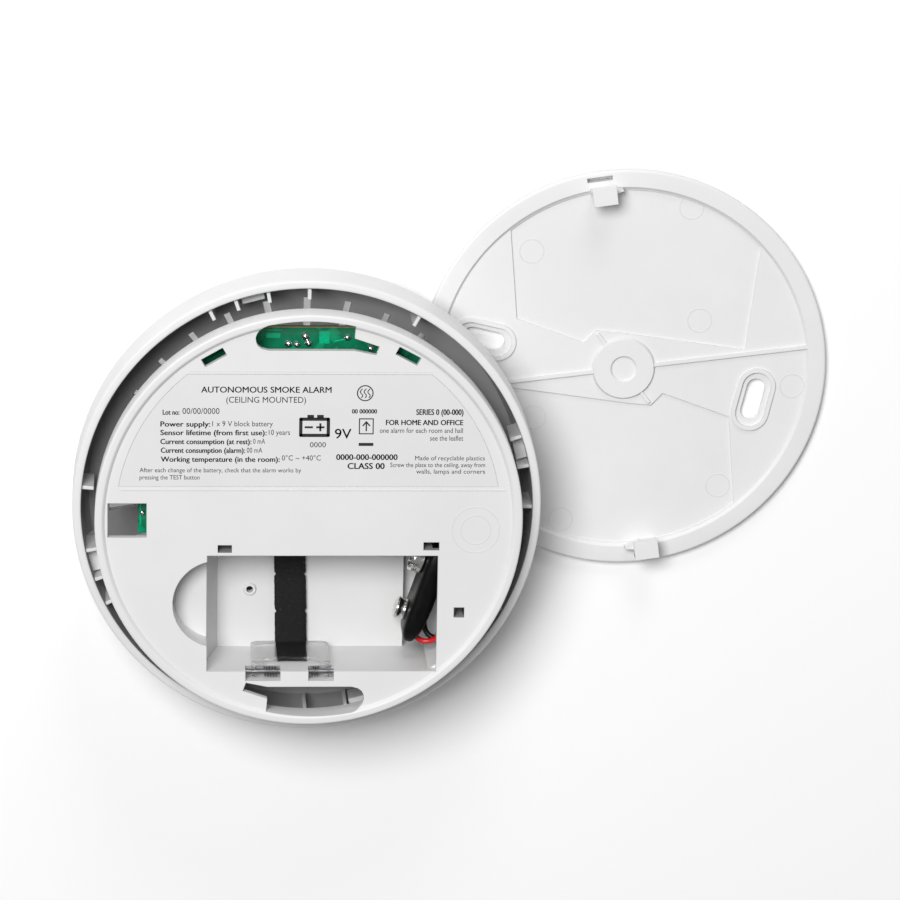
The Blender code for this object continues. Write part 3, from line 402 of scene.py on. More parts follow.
def smooth_path(knots, spacing):
    """Evenly spaced points on a smooth curve through the knots, and its length."""
    places = [Vector(knot) for knot in knots]
    places = [places[0] * 2.0 - places[1]] + places + [places[-1] * 2.0 - places[-2]]
    fine = []
    for a, b, c, d in zip(places, places[1:], places[2:], places[3:]):
        for step in range(CURVE_STEPS):
            t = step / CURVE_STEPS
            fine.append(0.5 * ((2.0 * b) + (c - a) * t + (2.0 * a - 5.0 * b + 4.0 * c - d) * t * t
                               + (3.0 * b - a - 3.0 * c + d) * t * t * t))
    fine.append(places[-2])
    length = sum((q - p).length for p, q in zip(fine, fine[1:]))
    count = max(2, round(length / spacing))
    wanted = [length * k / count for k in range(count + 1)]
    path = []
    walked = 0.0
    for p, q in zip(fine, fine[1:]):
        hop = (q - p).length
        while wanted and wanted[0] <= walked + hop + 0.0001:
            path.append(p.lerp(q, min(1.0, (wanted[0] - walked) / max(hop, 0.000001))))
            wanted.pop(0)
        walked += hop
    return path, length


def boolean(mesh, tools):
    """Apply a list of (operation, mesh) with exact Booleans."""
    obj = bpy.data.objects.new("solid", mesh)
    SCENE.objects.link(obj)
    for operation, other in tools:
        tool = bpy.data.objects.new("tool", other)
        SCENE.objects.link(tool)
        modifier = obj.modifiers.new("boolean", "BOOLEAN")
        modifier.operation = operation
        modifier.solver = "EXACT"
        modifier.object = tool
        obj.data = evaluated(obj)
        obj.modifiers.clear()
        bpy.data.objects.remove(tool)
    result = obj.data
    bpy.data.objects.remove(obj)
    return result


def cut(*meshes):
    return [("DIFFERENCE", mesh) for mesh in meshes]


def join(*meshes):
    return [("UNION", mesh) for mesh in meshes]


def polar(r, angle, at=(0.0, 0.0)):
    turn = math.radians(angle)
    return (at[0] + r * math.cos(turn), at[1] + r * math.sin(turn))


def arc(r, start, stop, count, at=(0.0, 0.0)):
    return [polar(r, start + (stop - start) * k / count, at) for k in range(count + 1)]


def spun(points, turn, at=(0.0, 0.0)):
    """Points turned about the origin and then moved."""
    spin = math.radians(turn)
    return [(u * math.cos(spin) - v * math.sin(spin) + at[0],
             u * math.sin(spin) + v * math.cos(spin) + at[1]) for u, v in points]


def angle_at_x(r, x):
    return -math.degrees(math.acos(x / r))


def angle_at_y(r, y):
    return math.degrees(math.asin(y / r))


def fillet(corner, before, after, r, count=4):
    """Round a profile corner between two neighbours."""
    a = Vector(before) - Vector(corner)
    b = Vector(after) - Vector(corner)
    u = a.normalized()
    v = b.normalized()
    angle = u.angle(v)
    reach = min(r / math.tan(angle / 2.0), 0.45 * a.length, 0.45 * b.length)
    start = Vector(corner) + u * reach
    stop = Vector(corner) + v * reach
    points = []
    for k in range(count + 1):
        t = k / count
        p = start * (1 - t) ** 2 + Vector(corner) * 2 * t * (1 - t) + stop * t * t
        points.append((p.x, p.y))
    return points


def round_profile(profile, r, first):
    """Round the corners of an open profile, from one of them to the last."""
    out = list(profile[:first])
    for before, corner, after in zip(profile[first - 1:], profile[first:], profile[first + 1:]):
        out += fillet(corner, before, after, r)
    return out + [profile[-1]]


# ----------------------------------------------------------------- dimensions
SKIRT_R = 53.6
SKIRT_INNER_R = 51.5
SKIRT_RIM_Z = 27.2
RING_R = 48.5
RING_WALL = 1.8
RING_TOP_Z = 36.4
RING_BOTTOM_Z = 30.1
RING_CENTRE = (0.15, -0.7)          # the back shell sits slightly low in the front shell
SLOT_SHIFT = (0.9, -0.9)            # of the lower bayonet slot from the upper one's mirror place
FACE_Z = 35.6
FACE_UNDER_Z = 33.8
ABOVE_FACE_Z = 37.0                 # where cutters through the face end
BAY_LEFT, BAY_RIGHT, BAY_BOTTOM, BAY_TOP = -22.9, 29.6, -36.6, -8.8
BAY_FLOOR_Z = 17.6
BAY_FLOOR_LEFT = -20.3
BAY_FLOOR_RIGHT = 22.8
BAY_WALL = 1.5
POCKET_FLOOR_Z = 13.6
POCKET_RIGHT = 34.2
SCOOP = (-20.3, -20.4, 10.4)        # x, y, r
SCOOP_FLOOR_Z = 28.6
BOSS = (-12.8, -22.6)
FLAG_Y, FLAG_Z = -37.3, 33.2        # the flap's axis, along X
FLAG_LEFT, FLAG_RIGHT = -12.6, 5.4
RECESS_LEFT = (-14.0, -6.0)
RECESS_RIGHT = (0.4, 6.2)
SCREWS = ((-33.6, 24.0), (33.6, 24.0), (-18.0, -2.4))
BUTTON = (0.0, -3.4)
LIGHT_PIPE = (19.5, -3.4)
LABEL_BED = (43.6, 7.6, 33.9)       # r, lower edge, upper edge
BOARD_TOP_Z = 27.6
LEAD_DIAMETER = 1.3
PLATE_R = 47.4
PLATE_BAND = 4.0                    # width of the raised edge band
PLATE_RIM_Z = 2.5
PLATE_FLOOR_Z = 1.8
SECTOR_FLOOR_Z = 1.3
HOOK_TURNS = (8.2, 188.2)


# ---------------------------------------------------------------- front cover
def front_cover():
    """Front shell with skirt, gap ribs, snap blocks, inlet slots and sound slots."""
    profile = [
        (0.0, 2.0), (23.2, 2.0), (29.8, 8.2), (46.4, 11.5), (49.9, 13.2), (SKIRT_INNER_R, 16.4),
        (SKIRT_INNER_R, SKIRT_RIM_Z), (SKIRT_R - 0.1, SKIRT_RIM_Z), (SKIRT_R, 15.8), (52.9, 13.3),
        (50.9, 11.2), (47.3, 9.5), (30.6, 6.2), (24.1, 0.15), (23.6, 0.0), (0.0, 0.0),
    ]
    profile = round_profile(profile, 0.55, first=6)
    shell = turned(profile)
    ribs = bmesh.new()
    for angle in (-29.0, 0.0, 11.0, 19.0, 61.0, 90.0, 100.5, 109.0, 116.0, 175.0, 192.0, 200.0,
                  207.0, 241.0, 270.0, 281.0, 289.0):
        add_box(ribs, RING_R + 0.3, SKIRT_INNER_R + 0.6, -0.4, 0.4, 15.9, 26.0, turn=angle)
    blocks = bmesh.new()
    for angle in (15.0, 104.75, 196.0, 285.0):
        add_box(blocks, RING_R + 0.5, SKIRT_INNER_R + 0.6, -2.6, 2.6, 16.2, 22.4, turn=angle)
    slots = bmesh.new()
    for k in range(30):
        add_box(slots, 33.0, 45.5, -0.8, 0.8, 3.0, 15.0, turn=6.0 + 12.0 * k)
    sounds = bmesh.new()
    front_r = 22.0
    for y in (-21.2, -18.8, -16.4, -14.0):
        half = math.sqrt(front_r ** 2 - y * y) * 0.62
        add_box(sounds, -half, half, y - 0.6, y + 0.6, -1.0, 4.0)
    holes = [cylinder(*BUTTON, -1.0, 4.0, 7.1, segments=96), cylinder(*LIGHT_PIPE, -1.0, 4.0, 1.8)]
    tools = join(to_mesh(ribs, "ribs"), to_mesh(blocks, "blocks"))
    tools += cut(to_mesh(slots, "slots"), to_mesh(sounds, "sounds"), *holes)
    mesh = boolean(shell, tools)
    shell = place("front_shell", mesh, COVER, "head", nodes=["front_cover"])
    shell.data.materials.append(COVER_PAINTED_SHADE)
    # the inner faces, seen through the gap and the slots, get the darker material: painted shade
    # where the shell's inside lies in shadow
    for face in shell.data.polygons:
        away = Vector((face.center.x - HEAD[0], face.center.y - HEAD[1]))
        inward = away.x * face.normal.x + away.y * face.normal.y < 0.0
        deep = away.length < 48.0 * MM and face.normal.z > -0.3
        wall = away.length < 51.7 * MM and (inward or face.normal.z > 0.05) and (
            face.center.z < 15.5 * MM or away.length > 51.3 * MM)
        if face.center.z > 2.5 * MM and (deep or wall):
            face.material_index = 1


# ----------------------------------------------------------------- back cover
def slot_plan(turn):
    """Bayonet slot: wide entry for the hook and a narrow run for its neck."""
    y = 39.4
    plan = [(9.9, y), (14.8, 38.4), (15.5, 40.4), (9.9, 42.3)]
    plan += arc(46.4, 77.4, 102.0, 24)
    plan += [(-10.6, 44.9), (-11.4, 44.2), (-12.0, 43.3), (-12.3, 42.4), (-12.2, 41.4),
             (-11.8, 40.5), (-10.9, 39.8), (-9.4, y)]
    return spun(plan, turn, SLOT_SHIFT if turn else (0.0, 0.0))


def label_plan(inset):
    """The label's bed made smaller all round: a wide band cut off by a circle."""
    r, low, high = LABEL_BED[0] - inset, LABEL_BED[1] + inset, LABEL_BED[2] - inset
    right_low = angle_at_y(r, low)
    right_high = angle_at_y(r, high)
    plan = arc(r, right_low, right_high, 40)
    return plan + arc(r, 180.0 - right_high, 180.0 - right_low, 40)


def back_ring():
    """Turned blank of the back shell: face, step and ring."""
    inner = RING_R - RING_WALL
    step = (46.75, 36.3)
    profile = [(0.0, FACE_Z), (46.2, FACE_Z), step]
    profile += fillet((47.0, RING_TOP_Z), step, (48.0, RING_TOP_Z), 0.3)
    profile += fillet((RING_R, RING_TOP_Z), (47.2, RING_TOP_Z), (RING_R, 30.0), 0.5, 6)
    profile += [(RING_R, RING_BOTTOM_Z), (inner, RING_BOTTOM_Z), (inner, FACE_UNDER_Z),
                (0.0, FACE_UNDER_Z)]
    return turned(profile, at=RING_CENTRE)


def face_windows():
    """Six small windows through the face."""
    bm = bmesh.new()
    add_box(bm, -20.5, -17.3, -8.1, -6.3, 25.0, ABOVE_FACE_Z)
    add_box(bm, 26.2, 29.8, -7.5, -5.6, 25.0, ABOVE_FACE_Z)
    add_box(bm, 33.4, 35.8, -23.6, -21.2, 28.0, ABOVE_FACE_Z)
    add_box(bm, -24.4, -18.8, 36.8, 38.8, 33.0, ABOVE_FACE_Z, turn=30.0, about=(-21.6, 37.8))
    add_box(bm, 19.2, 24.8, 37.2, 39.2, 33.0, ABOVE_FACE_Z, turn=-28.0, about=(22.0, 38.2))
    add_box(bm, -45.4, -36.6, -4.5, 3.6, 33.0, ABOVE_FACE_Z)
    return to_mesh(bm, "windows")


def back_cover():
    """Back shell with its bay, connector pocket, scoop, hinge recesses, slots and windows."""
    low = BAY_BOTTOM - BAY_WALL
    top = BAY_TOP + BAY_WALL
    r = RING_R - 0.9
    right = POCKET_RIGHT + BAY_WALL
    plan = [(21.3, top), (26.9, top), (26.9, -4.5), (right, -4.5)]
    plan += arc(r, angle_at_x(r, right), angle_at_y(r, low), 16) + [(21.3, low)]
    lid = FACE_UNDER_Z + 0.7
    posts = bmesh.new()
    bores = bmesh.new()
    for x, y in SCREWS:
        add_cylinder(posts, x, y, 27.9, lid - 0.1, 2.7)
        add_cylinder(bores, x, y, 26.0, 32.6, 1.4)
    add_cylinder(bores, *BUTTON, 14.0, 17.0, 2.4)
    tools = join(
        box(BAY_LEFT - BAY_WALL, 25.0, low, top, BAY_FLOOR_Z - BAY_WALL, lid),
        outline(plan, POCKET_FLOOR_Z - BAY_WALL, lid),
        cylinder(*SCOOP[:2], SCOOP_FLOOR_Z - BAY_WALL, lid, SCOOP[2] + BAY_WALL, segments=96),
        box(-16.2, 8.8, -39.4, BAY_BOTTOM - 0.5, 29.8, lid),
        box(-4.0, 4.0, -9.0, 0.4, 14.6, 16.6),
        to_mesh(posts, "posts"))
    side = [(BAY_FLOOR_LEFT, BAY_FLOOR_Z), (BAY_FLOOR_RIGHT + 0.2, BAY_FLOOR_Z),
            (BAY_FLOOR_RIGHT + 0.2, 40.0), (BAY_LEFT, 40.0), (BAY_LEFT, SCOOP_FLOOR_Z)]
    r = RING_R - 2.1
    pocket = [(BAY_FLOOR_RIGHT, BAY_TOP), (28.4, BAY_TOP), (28.4, -6.0), (POCKET_RIGHT, -6.0)]
    pocket += arc(r, angle_at_x(r, POCKET_RIGHT), angle_at_x(r, 27.9), 16)
    pocket += [(26.7, BAY_BOTTOM), (BAY_FLOOR_RIGHT, BAY_BOTTOM)]
    recesses = bmesh.new()
    wells = bmesh.new()
    for left, end in (RECESS_LEFT, RECESS_RIGHT):
        add_box(recesses, left, end, -38.9, BAY_BOTTOM + 0.6, 31.4, ABOVE_FACE_Z)
        add_box(wells, left + 1.0, end - 1.0, -38.0, BAY_BOTTOM - 0.9, 25.0, 32.0)
    tools += cut(
        outline(side, -BAY_TOP, -BAY_BOTTOM, plane="XZ"),
        outline(pocket, POCKET_FLOOR_Z, FACE_UNDER_Z),
        box(BAY_FLOOR_RIGHT, BAY_RIGHT, BAY_BOTTOM, BAY_TOP, 33.0, ABOVE_FACE_Z),
        cylinder(*SCOOP[:2], SCOOP_FLOOR_Z, ABOVE_FACE_Z, SCOOP[2], segments=96),
        to_mesh(recesses, "recesses"), to_mesh(wells, "wells"),
        rod(-17.0, 7.8, FLAG_Y, FLAG_Z, 0.62))
    tools += join(cylinder(*BOSS, BAY_FLOOR_Z - 0.5, BAY_FLOOR_Z + 0.5, 1.9, r_top=1.35))
    tools += cut(
        cylinder(*BOSS, 15.0, 19.0, 0.8), box(30.6, 35.0, -7.0, -4.0, 28.6, FACE_UNDER_Z),
        face_windows(), outline(label_plan(0.0), FACE_Z - 0.6, ABOVE_FACE_Z),
        to_mesh(bores, "bores"),
        *[outline(slot_plan(turn), 33.0, ABOVE_FACE_Z) for turn in (0.0, 180.0)])
    mesh = boolean(back_ring(), tools)
    shell = place("back_shell", mesh, COVER, "head", nodes=["back_cover"])
    shell.data.materials.append(COVER_PAINTED_SHADE)
    # the walls of the hinge wells and of three small windows get the darker material: painted shade
    # in these deep openings
    for face in shell.data.polygons:
        x, y, z = (face.center - Vector((HEAD[0], HEAD[1], 0.0))) / MM
        recessed = -38.1 < y < -36.5 and 24.5 < z < 31.8 and -13.1 < x < 5.3
        window = 24.0 < z < 35.4 and face.normal.z < 0.9 and (
            (-8.2 < y < -5.5 and (-20.6 < x < -17.2 or 26.1 < x < 29.9))
            or (-23.7 < y < -21.1 and 33.3 < x < 35.9))
        if recessed or window:
            face.material_index = 1


# --------------------------------------------------------------- faint relief
def raised_line(points, width, z, height, closed=False):
    """Low line of boxes on a flat face."""
    bm = bmesh.new()
    pairs = list(zip(points, points[1:]))
    if closed:
        pairs.append((points[-1], points[0]))
    for (x0, y0), (x1, y1) in pairs:
        length = math.hypot(x1 - x0, y1 - y0)
        turn = math.degrees(math.atan2(y1 - y0, x1 - x0))
        add_box(bm, x0 - 0.3 * width, x0 + length + 0.3 * width,
                y0 - 0.5 * width, y0 + 0.5 * width, z, z + height, turn=turn, about=(x0, y0))
    return to_mesh(bm, "line")


def raised_ring(r, width, z, height, at):
    """Low raised ring on a flat face."""
    half = 0.5 * width
    profile = [(r - half, z), (r + half, z), (r + 0.5 * half, z + height),
               (r - 0.5 * half, z + height)]
    return turned(profile, 48, at)


def merged(name, meshes):
    bm = bmesh.new()
    for mesh in meshes:
        bm.from_mesh(mesh)
    return to_mesh(bm, name)


def back_relief():
    """Bed edges of the label and a plain double ring where the real shell has a moulded mark."""
    z = FACE_Z - 0.02
    lines = [raised_line([(-42.6, 6.8), (44.4, 6.8)], 0.3, z, 0.12),
             raised_line([(-26.8, 34.6), (27.5, 34.6)], 0.2, z, 0.06)]
    for r in (3.4, 5.4):
        lines.append(raised_ring(r, 0.36, z, 0.06, (38.0, -2.6)))
    place("back_relief", merged("back_relief", lines), RELIEF, "head")


# ---------------------------------------------------------------------- print
def text_mesh(words, y, x0, x1, size, bold=0.0):
    """Line of print whose middle is at y and which runs from x0 to x1."""
    curve = bpy.data.curves.new("text", "FONT")
    curve.body = words
    curve.size = size * MM
    curve.resolution_u = 3
    obj = bpy.data.objects.new("text", curve)
    SCENE.objects.link(obj)
    mesh = evaluated(obj)
    bpy.data.objects.remove(obj)
    xs = [vert.co.x for vert in mesh.vertices]
    stretch = (x1 - x0) * MM / (max(xs) - min(xs))
    mesh.transform(Matrix.Diagonal((stretch, 1.0, 1.0, 1.0)))
    mesh.transform(Matrix.Translation((x0 * MM - min(xs) * stretch, (y - 0.34 * size) * MM,
                                       (FACE_Z + 0.02) * MM)))
    if bold <= 0.02:
        return mesh
    copies = []
    for dx, dy in ((-bold, 0.0), (bold, 0.0), (0.0, 0.6 * bold)):
        copy = mesh.copy()
        copy.transform(Matrix.Translation((dx * MM, dy * MM, 0.0)))
        copies.append(copy)
    return merged("text", copies)


def flat_line(points, width, closed=False):
    return raised_line(points, width, FACE_Z + 0.005, 0.025, closed)


def symbols():
    """Battery outline, smoke waves in a ring, an arrow in a square and a bar."""
    lines = [
        flat_line([(-2.0, 19.7), (4.2, 19.7), (4.2, 23.5), (-2.0, 23.5)], 0.75, closed=True),
        flat_line([(-0.3, 24.1), (0.7, 24.1)], 0.8),
        flat_line([(1.9, 24.1), (2.9, 24.1)], 0.8),
        flat_line([(-1.0, 21.6), (0.6, 21.6)], 0.45),
        flat_line([(1.6, 21.6), (3.2, 21.6)], 0.45),
        flat_line([(2.4, 20.8), (2.4, 22.4)], 0.45),
        raised_ring(1.75, 0.26, FACE_Z, 0.03, (12.4, 29.6)),
    ]
    for k in range(3):
        wave = [(11.55 + 0.85 * k + 0.28 * math.sin(0.8 * j), 28.55 + 0.23 * j) for j in range(10)]
        lines.append(flat_line(wave, 0.2))
    return lines + [
        flat_line([(11.2, 20.1), (14.3, 20.1), (14.3, 23.6), (11.2, 23.6)], 0.24, closed=True),
        flat_line([(12.75, 20.8), (12.75, 22.7)], 0.3),
        flat_line([(12.0, 22.0), (12.75, 22.9), (13.5, 22.0)], 0.3),
        flat_line([(11.3, 17.6), (14.2, 17.6)], 0.7),
    ]


def printed_label():
    """Generic data panel in black ink on a sheet in its bed."""
    sheet = outline(label_plan(0.03), FACE_Z - 0.3, FACE_Z - 0.01)
    place("label_sheet_top", sheet, LABEL, "head", nodes=["rating_label"])
    rows = [    # words, middle y, left x, right x, size, bold
        ("AUTONOMOUS SMOKE ALARM", 30.35, -24.4, 4.8, 2.0, 0.035),
        ("(CEILING MOUNTED)", 28.0, -18.8, -0.9, 2.0, 0.005),
        ("Lot no:", 25.05, -33.0, -29.3, 1.7, 0.045),
        ("00/00/0000", 25.35, -28.6, -20.3, 2.0, 0.015),
        ("Power supply:", 22.3, -33.5, -22.4, 1.75, 0.05),
        ("1 x 9 V block battery", 22.4, -21.9, -8.3, 1.75, 0.005),
        ("Sensor lifetime (from first use):", 20.3, -33.5, -9.7, 1.75, 0.05),
        ("10 years", 20.4, -9.2, -4.4, 1.75, 0.005),
        ("Current consumption (at rest):", 18.2, -33.5, -13.1, 1.75, 0.05),
        ("0 mA", 18.3, -12.7, -10.0, 1.75, 0.005),
        ("Current consumption (alarm):", 16.15, -33.4, -14.5, 1.75, 0.05),
        ("00 mA", 16.2, -14.1, -10.6, 1.75, 0.005),
        ("Working temperature (in the room):", 14.05, -33.4, -6.7, 1.75, 0.05),
        ("0\u00b0C ~ +40\u00b0C", 14.4, -6.2, 2.6, 1.75, 0.005),
        ("After each change of the battery, check that the alarm works by", 11.5, -38.2, -1.8,
         1.5, 0.01),
        ("pressing the TEST button", 9.8, -38.2, -24.7, 1.5, 0.01),
        ("0000", 17.5, 0.1, 3.7, 1.75, 0.01),
        ("9V", 20.1, 5.7, 9.4, 3.3, 0.03),
        ("SERIES 0 (00-000)", 25.2, 24.0, 34.6, 1.9, 0.05),
        ("FOR HOME AND OFFICE", 22.75, 17.2, 34.6, 1.75, 0.05),
        ("one alarm for each room and hall", 20.9, 15.8, 34.6, 1.65, 0.005),
        ("see the leaflet", 19.1, 27.2, 34.7, 1.7, 0.005),
        ("0000-000-000000", 14.6, 6.1, 19.9, 1.9, 0.055),
        ("CLASS 00", 12.5, 8.7, 17.0, 2.0, 0.06),
        ("Made of recyclable plastics", 14.4, 23.9, 39.7, 1.5, 0.01),
        ("Screw the plate to the ceiling, away from", 12.8, 18.3, 39.8, 1.5, 0.01),
        ("walls, lamps and corners", 11.25, 24.2, 39.8, 1.5, 0.01),
        ("00 000000", 25.35, 9.5, 15.1, 1.45, 0.045),
    ]
    meshes = [text_mesh(*row) for row in rows] + symbols()
    place("label_print", merged("label_print", meshes), INK, "head")


# ----------------------------------------------------------------- flag, foam
def helix(radius, start, stop, turns, per_turn, at):
    """Points of a coil along X about a (y, z) axis."""
    total = turns * per_turn
    points = []
    for k in range(total + 1):
        angle = 2.0 * math.pi * k / per_turn
        points.append((start + (stop - start) * k / total,
                       at[0] + radius * math.cos(angle), at[1] + radius * math.sin(angle)))
    return points


def flag_and_springs():
    """Clear flap with two lugs, its pin and its two torsion springs."""
    low = 18.8
    r = 2.0
    plan = [(FLAG_LEFT, 34.0), (FLAG_LEFT, low + r)]
    plan += arc(r, 180.0, 270.0, 12, (FLAG_LEFT + r, low + r))
    plan += arc(r, 270.0, 360.0, 12, (FLAG_RIGHT - r, low + r))
    plan += [(FLAG_RIGHT, low + r), (FLAG_RIGHT, 34.0), (3.0, 34.0), (3.0, 31.0), (0.4, 30.2),
             (-6.0, 30.2), (-10.2, 31.0), (-10.2, 34.0)]
    arms = bmesh.new()
    lugs = []
    for left, right in ((FLAG_LEFT, -11.6), (4.4, FLAG_RIGHT)):
        add_box(arms, left, right, FLAG_Y, -35.2, FLAG_Z - 0.7, FLAG_Z + 0.7)
        lugs.append(rod(left, right, FLAG_Y, FLAG_Z, 1.25, 48))
    flag = boolean(outline(plan, 34.9, 35.6, plane="XZ"),
                   join(to_mesh(arms, "arms"), *lugs)
                   + cut(rod(-18.0, 12.0, FLAG_Y, FLAG_Z, 0.85, 48)))
    place("flag_clear", flag, CLEAR, "flag", nodes=["battery_flag"])
    # the coils and the pin take the darkened steel: painted shade in the hinge recess
    for side, start, stop, turns in (("left", RECESS_LEFT[1] - 0.6, RECESS_LEFT[1] - 3.8, 5),
                                     ("right", RECESS_RIGHT[0] + 0.6, RECESS_RIGHT[0] + 2.4, 3)):
        coil = helix(1.15, start, stop, turns, 28, (FLAG_Y, FLAG_Z))
        place("flag_coil_" + side, tube(coil, 0.24), STEEL_PAINTED_SHADE, "head",
              nodes=["flag_spring_" + side])
    pin = turned([(0.0, 7.4), (0.4, 7.4), (0.55, 7.2), (0.55, -15.4), (0.4, -15.6), (0.0, -15.6)],
                 32)
    pin.transform(Matrix.Translation((0.0, FLAG_Y * MM, FLAG_Z * MM)) @ Matrix.Rotation(
        math.radians(90.0), 4, "Y"))
    place("flag_pin_fine", pin, STEEL_PAINTED_SHADE, "head", nodes=["flag_pin"])


def foam_pad():
    """Pad with soft edges, slightly skewed, nicked on both edges, run up the wall."""
    top = BAY_FLOOR_Z + 1.1
    on_floor, on_wall, across = 59, 23, 12
    pitch = 0.45
    path = [(-9.3 - pitch * k, top) for k in range(on_floor)]
    path += [(BAY_BOTTOM + 0.33, top + 0.3 + pitch * k) for k in range(on_wall)]
    rng = random.Random(4)
    bm = bmesh.new()
    rows = []
    for k, (y, z) in enumerate(path):
        skew = 0.55 * min(1.0, k / (on_floor - 1.0))
        left = -7.05 + skew + rng.uniform(-0.05, 0.05)
        right = -0.45 + skew + rng.uniform(-0.05, 0.05)
        if k in (20, 21, 40, 41):
            left += 0.35
            right -= 0.35
        columns = []
        for j in range(across + 1):
            x = left + (right - left) * j / across
            crown = 0.0 if 0 < j < across else -0.35
            columns.append((x, y, z + crown) if k < on_floor else (x, y + crown * 0.4, z))
        rows.append([bm.verts.new(Vector(p) * MM) for p in columns])
    for a, b in zip(rows, rows[1:]):
        for j in range(across):
            bm.faces.new((a[j], a[j + 1], b[j + 1], b[j]))
    bmesh.ops.recalc_face_normals(bm, faces=bm.faces)
    mesh = to_mesh(bm, "foam")
    obj = bpy.data.objects.new("foam", mesh)
    SCENE.objects.link(obj)
    thick = obj.modifiers.new("thick", "SOLIDIFY")
    thick.thickness = 0.65 * MM
    thick.offset = -1.0
    mesh = evaluated(obj)
    bpy.data.objects.remove(obj)
    place("foam_pad", mesh, FOAM, "head", angle=60.0, nodes=["foam_strip"])


# -------------------------------------------------------------- board details
def board_details():
    """Traces, pads, solder joints and the tan edge of the board in the slots."""
    z = BOARD_TOP_Z
    rng = random.Random(11)
    traces = bmesh.new()
    for k in range(26):
        x = -36.0 + 2.8 * k
        y = rng.uniform(5.0, 39.0)
        run = rng.uniform(4.0, 12.0)
        turn = rng.choice((0.0, 0.0, 45.0, 90.0, -45.0))
        if math.hypot(x, y) + run < 43.0:
            add_box(traces, x, x + run, y - 0.3, y + 0.3, z - 0.02, z + 0.03, turn=turn,
                    about=(x, y))
    add_box(traces, 2.2, 4.6, 38.9, 41.9, z - 0.02, z + 0.035)
    add_box(traces, -9.8, -6.6, 40.2, 41.4, z - 0.02, z + 0.03)
    add_box(traces, -12.5, -6.0, 41.9, 42.2, z - 0.02, z + 0.03)
    add_box(traces, 5.6, 8.6, 39.2, 39.6, z - 0.02, z + 0.03, turn=14.0, about=(5.6, 39.2))
    add_box(traces, -38.2, -37.8, -4.0, 10.0, z - 0.02, z + 0.03)
    place("board_traces", to_mesh(traces, "traces"), TRACE, "head")
    blobs = bmesh.new()
    joints = [(-4.7, 38.9, 0.95), (-2.8, 38.8, 0.85), (-0.9, 40.7, 1.05), (-0.2, 39.1, 0.95),
              (8.6, 40.4, 0.85), (13.9, 37.9, 0.8), (-37.6, -1.0, 0.7)]
    for x, y, r in joints:
        shape = Matrix.Translation(Vector((x, y, z)) * MM)
        shape = shape @ Matrix.Diagonal((r * MM, r * 0.92 * MM, r * 0.8 * MM, 1.0))
        bmesh.ops.create_uvsphere(blobs, u_segments=20, v_segments=12, radius=1.0, matrix=shape)
        tip = Matrix.Translation(Vector((x + 0.1, y - 0.1, z + r * 0.7)) * MM)
        bmesh.ops.create_cone(blobs, cap_ends=True, segments=12, radius1=0.28 * MM,
                              radius2=0.2 * MM, depth=0.9 * MM, matrix=tip)
    for vert in blobs.verts:
        vert.co += Vector((rng.uniform(-1, 1), rng.uniform(-1, 1), rng.uniform(-1, 1))) * 0.03 * MM
    place("solder_joints", to_mesh(blobs, "solder"), SOLDER, "head", angle=60.0)
    edge = raised_line([(-13.0, 42.76), (13.0, 42.76)], 0.14, 27.15, 0.47)
    place("board_edge_top", edge, BOARD_EDGE, "head")


# ----------------------------------------------------- snap connector and leads
CONNECTOR = (27.0, -20.0, 24.6)
CONNECTOR_TURN = 71.5


def connector_frame():
    """Where the connector stands on edge at the right end of the bay."""
    return (Matrix.Translation(Vector(CONNECTOR) * MM)
            @ Matrix.Rotation(math.radians(CONNECTOR_TURN), 4, "Z"))


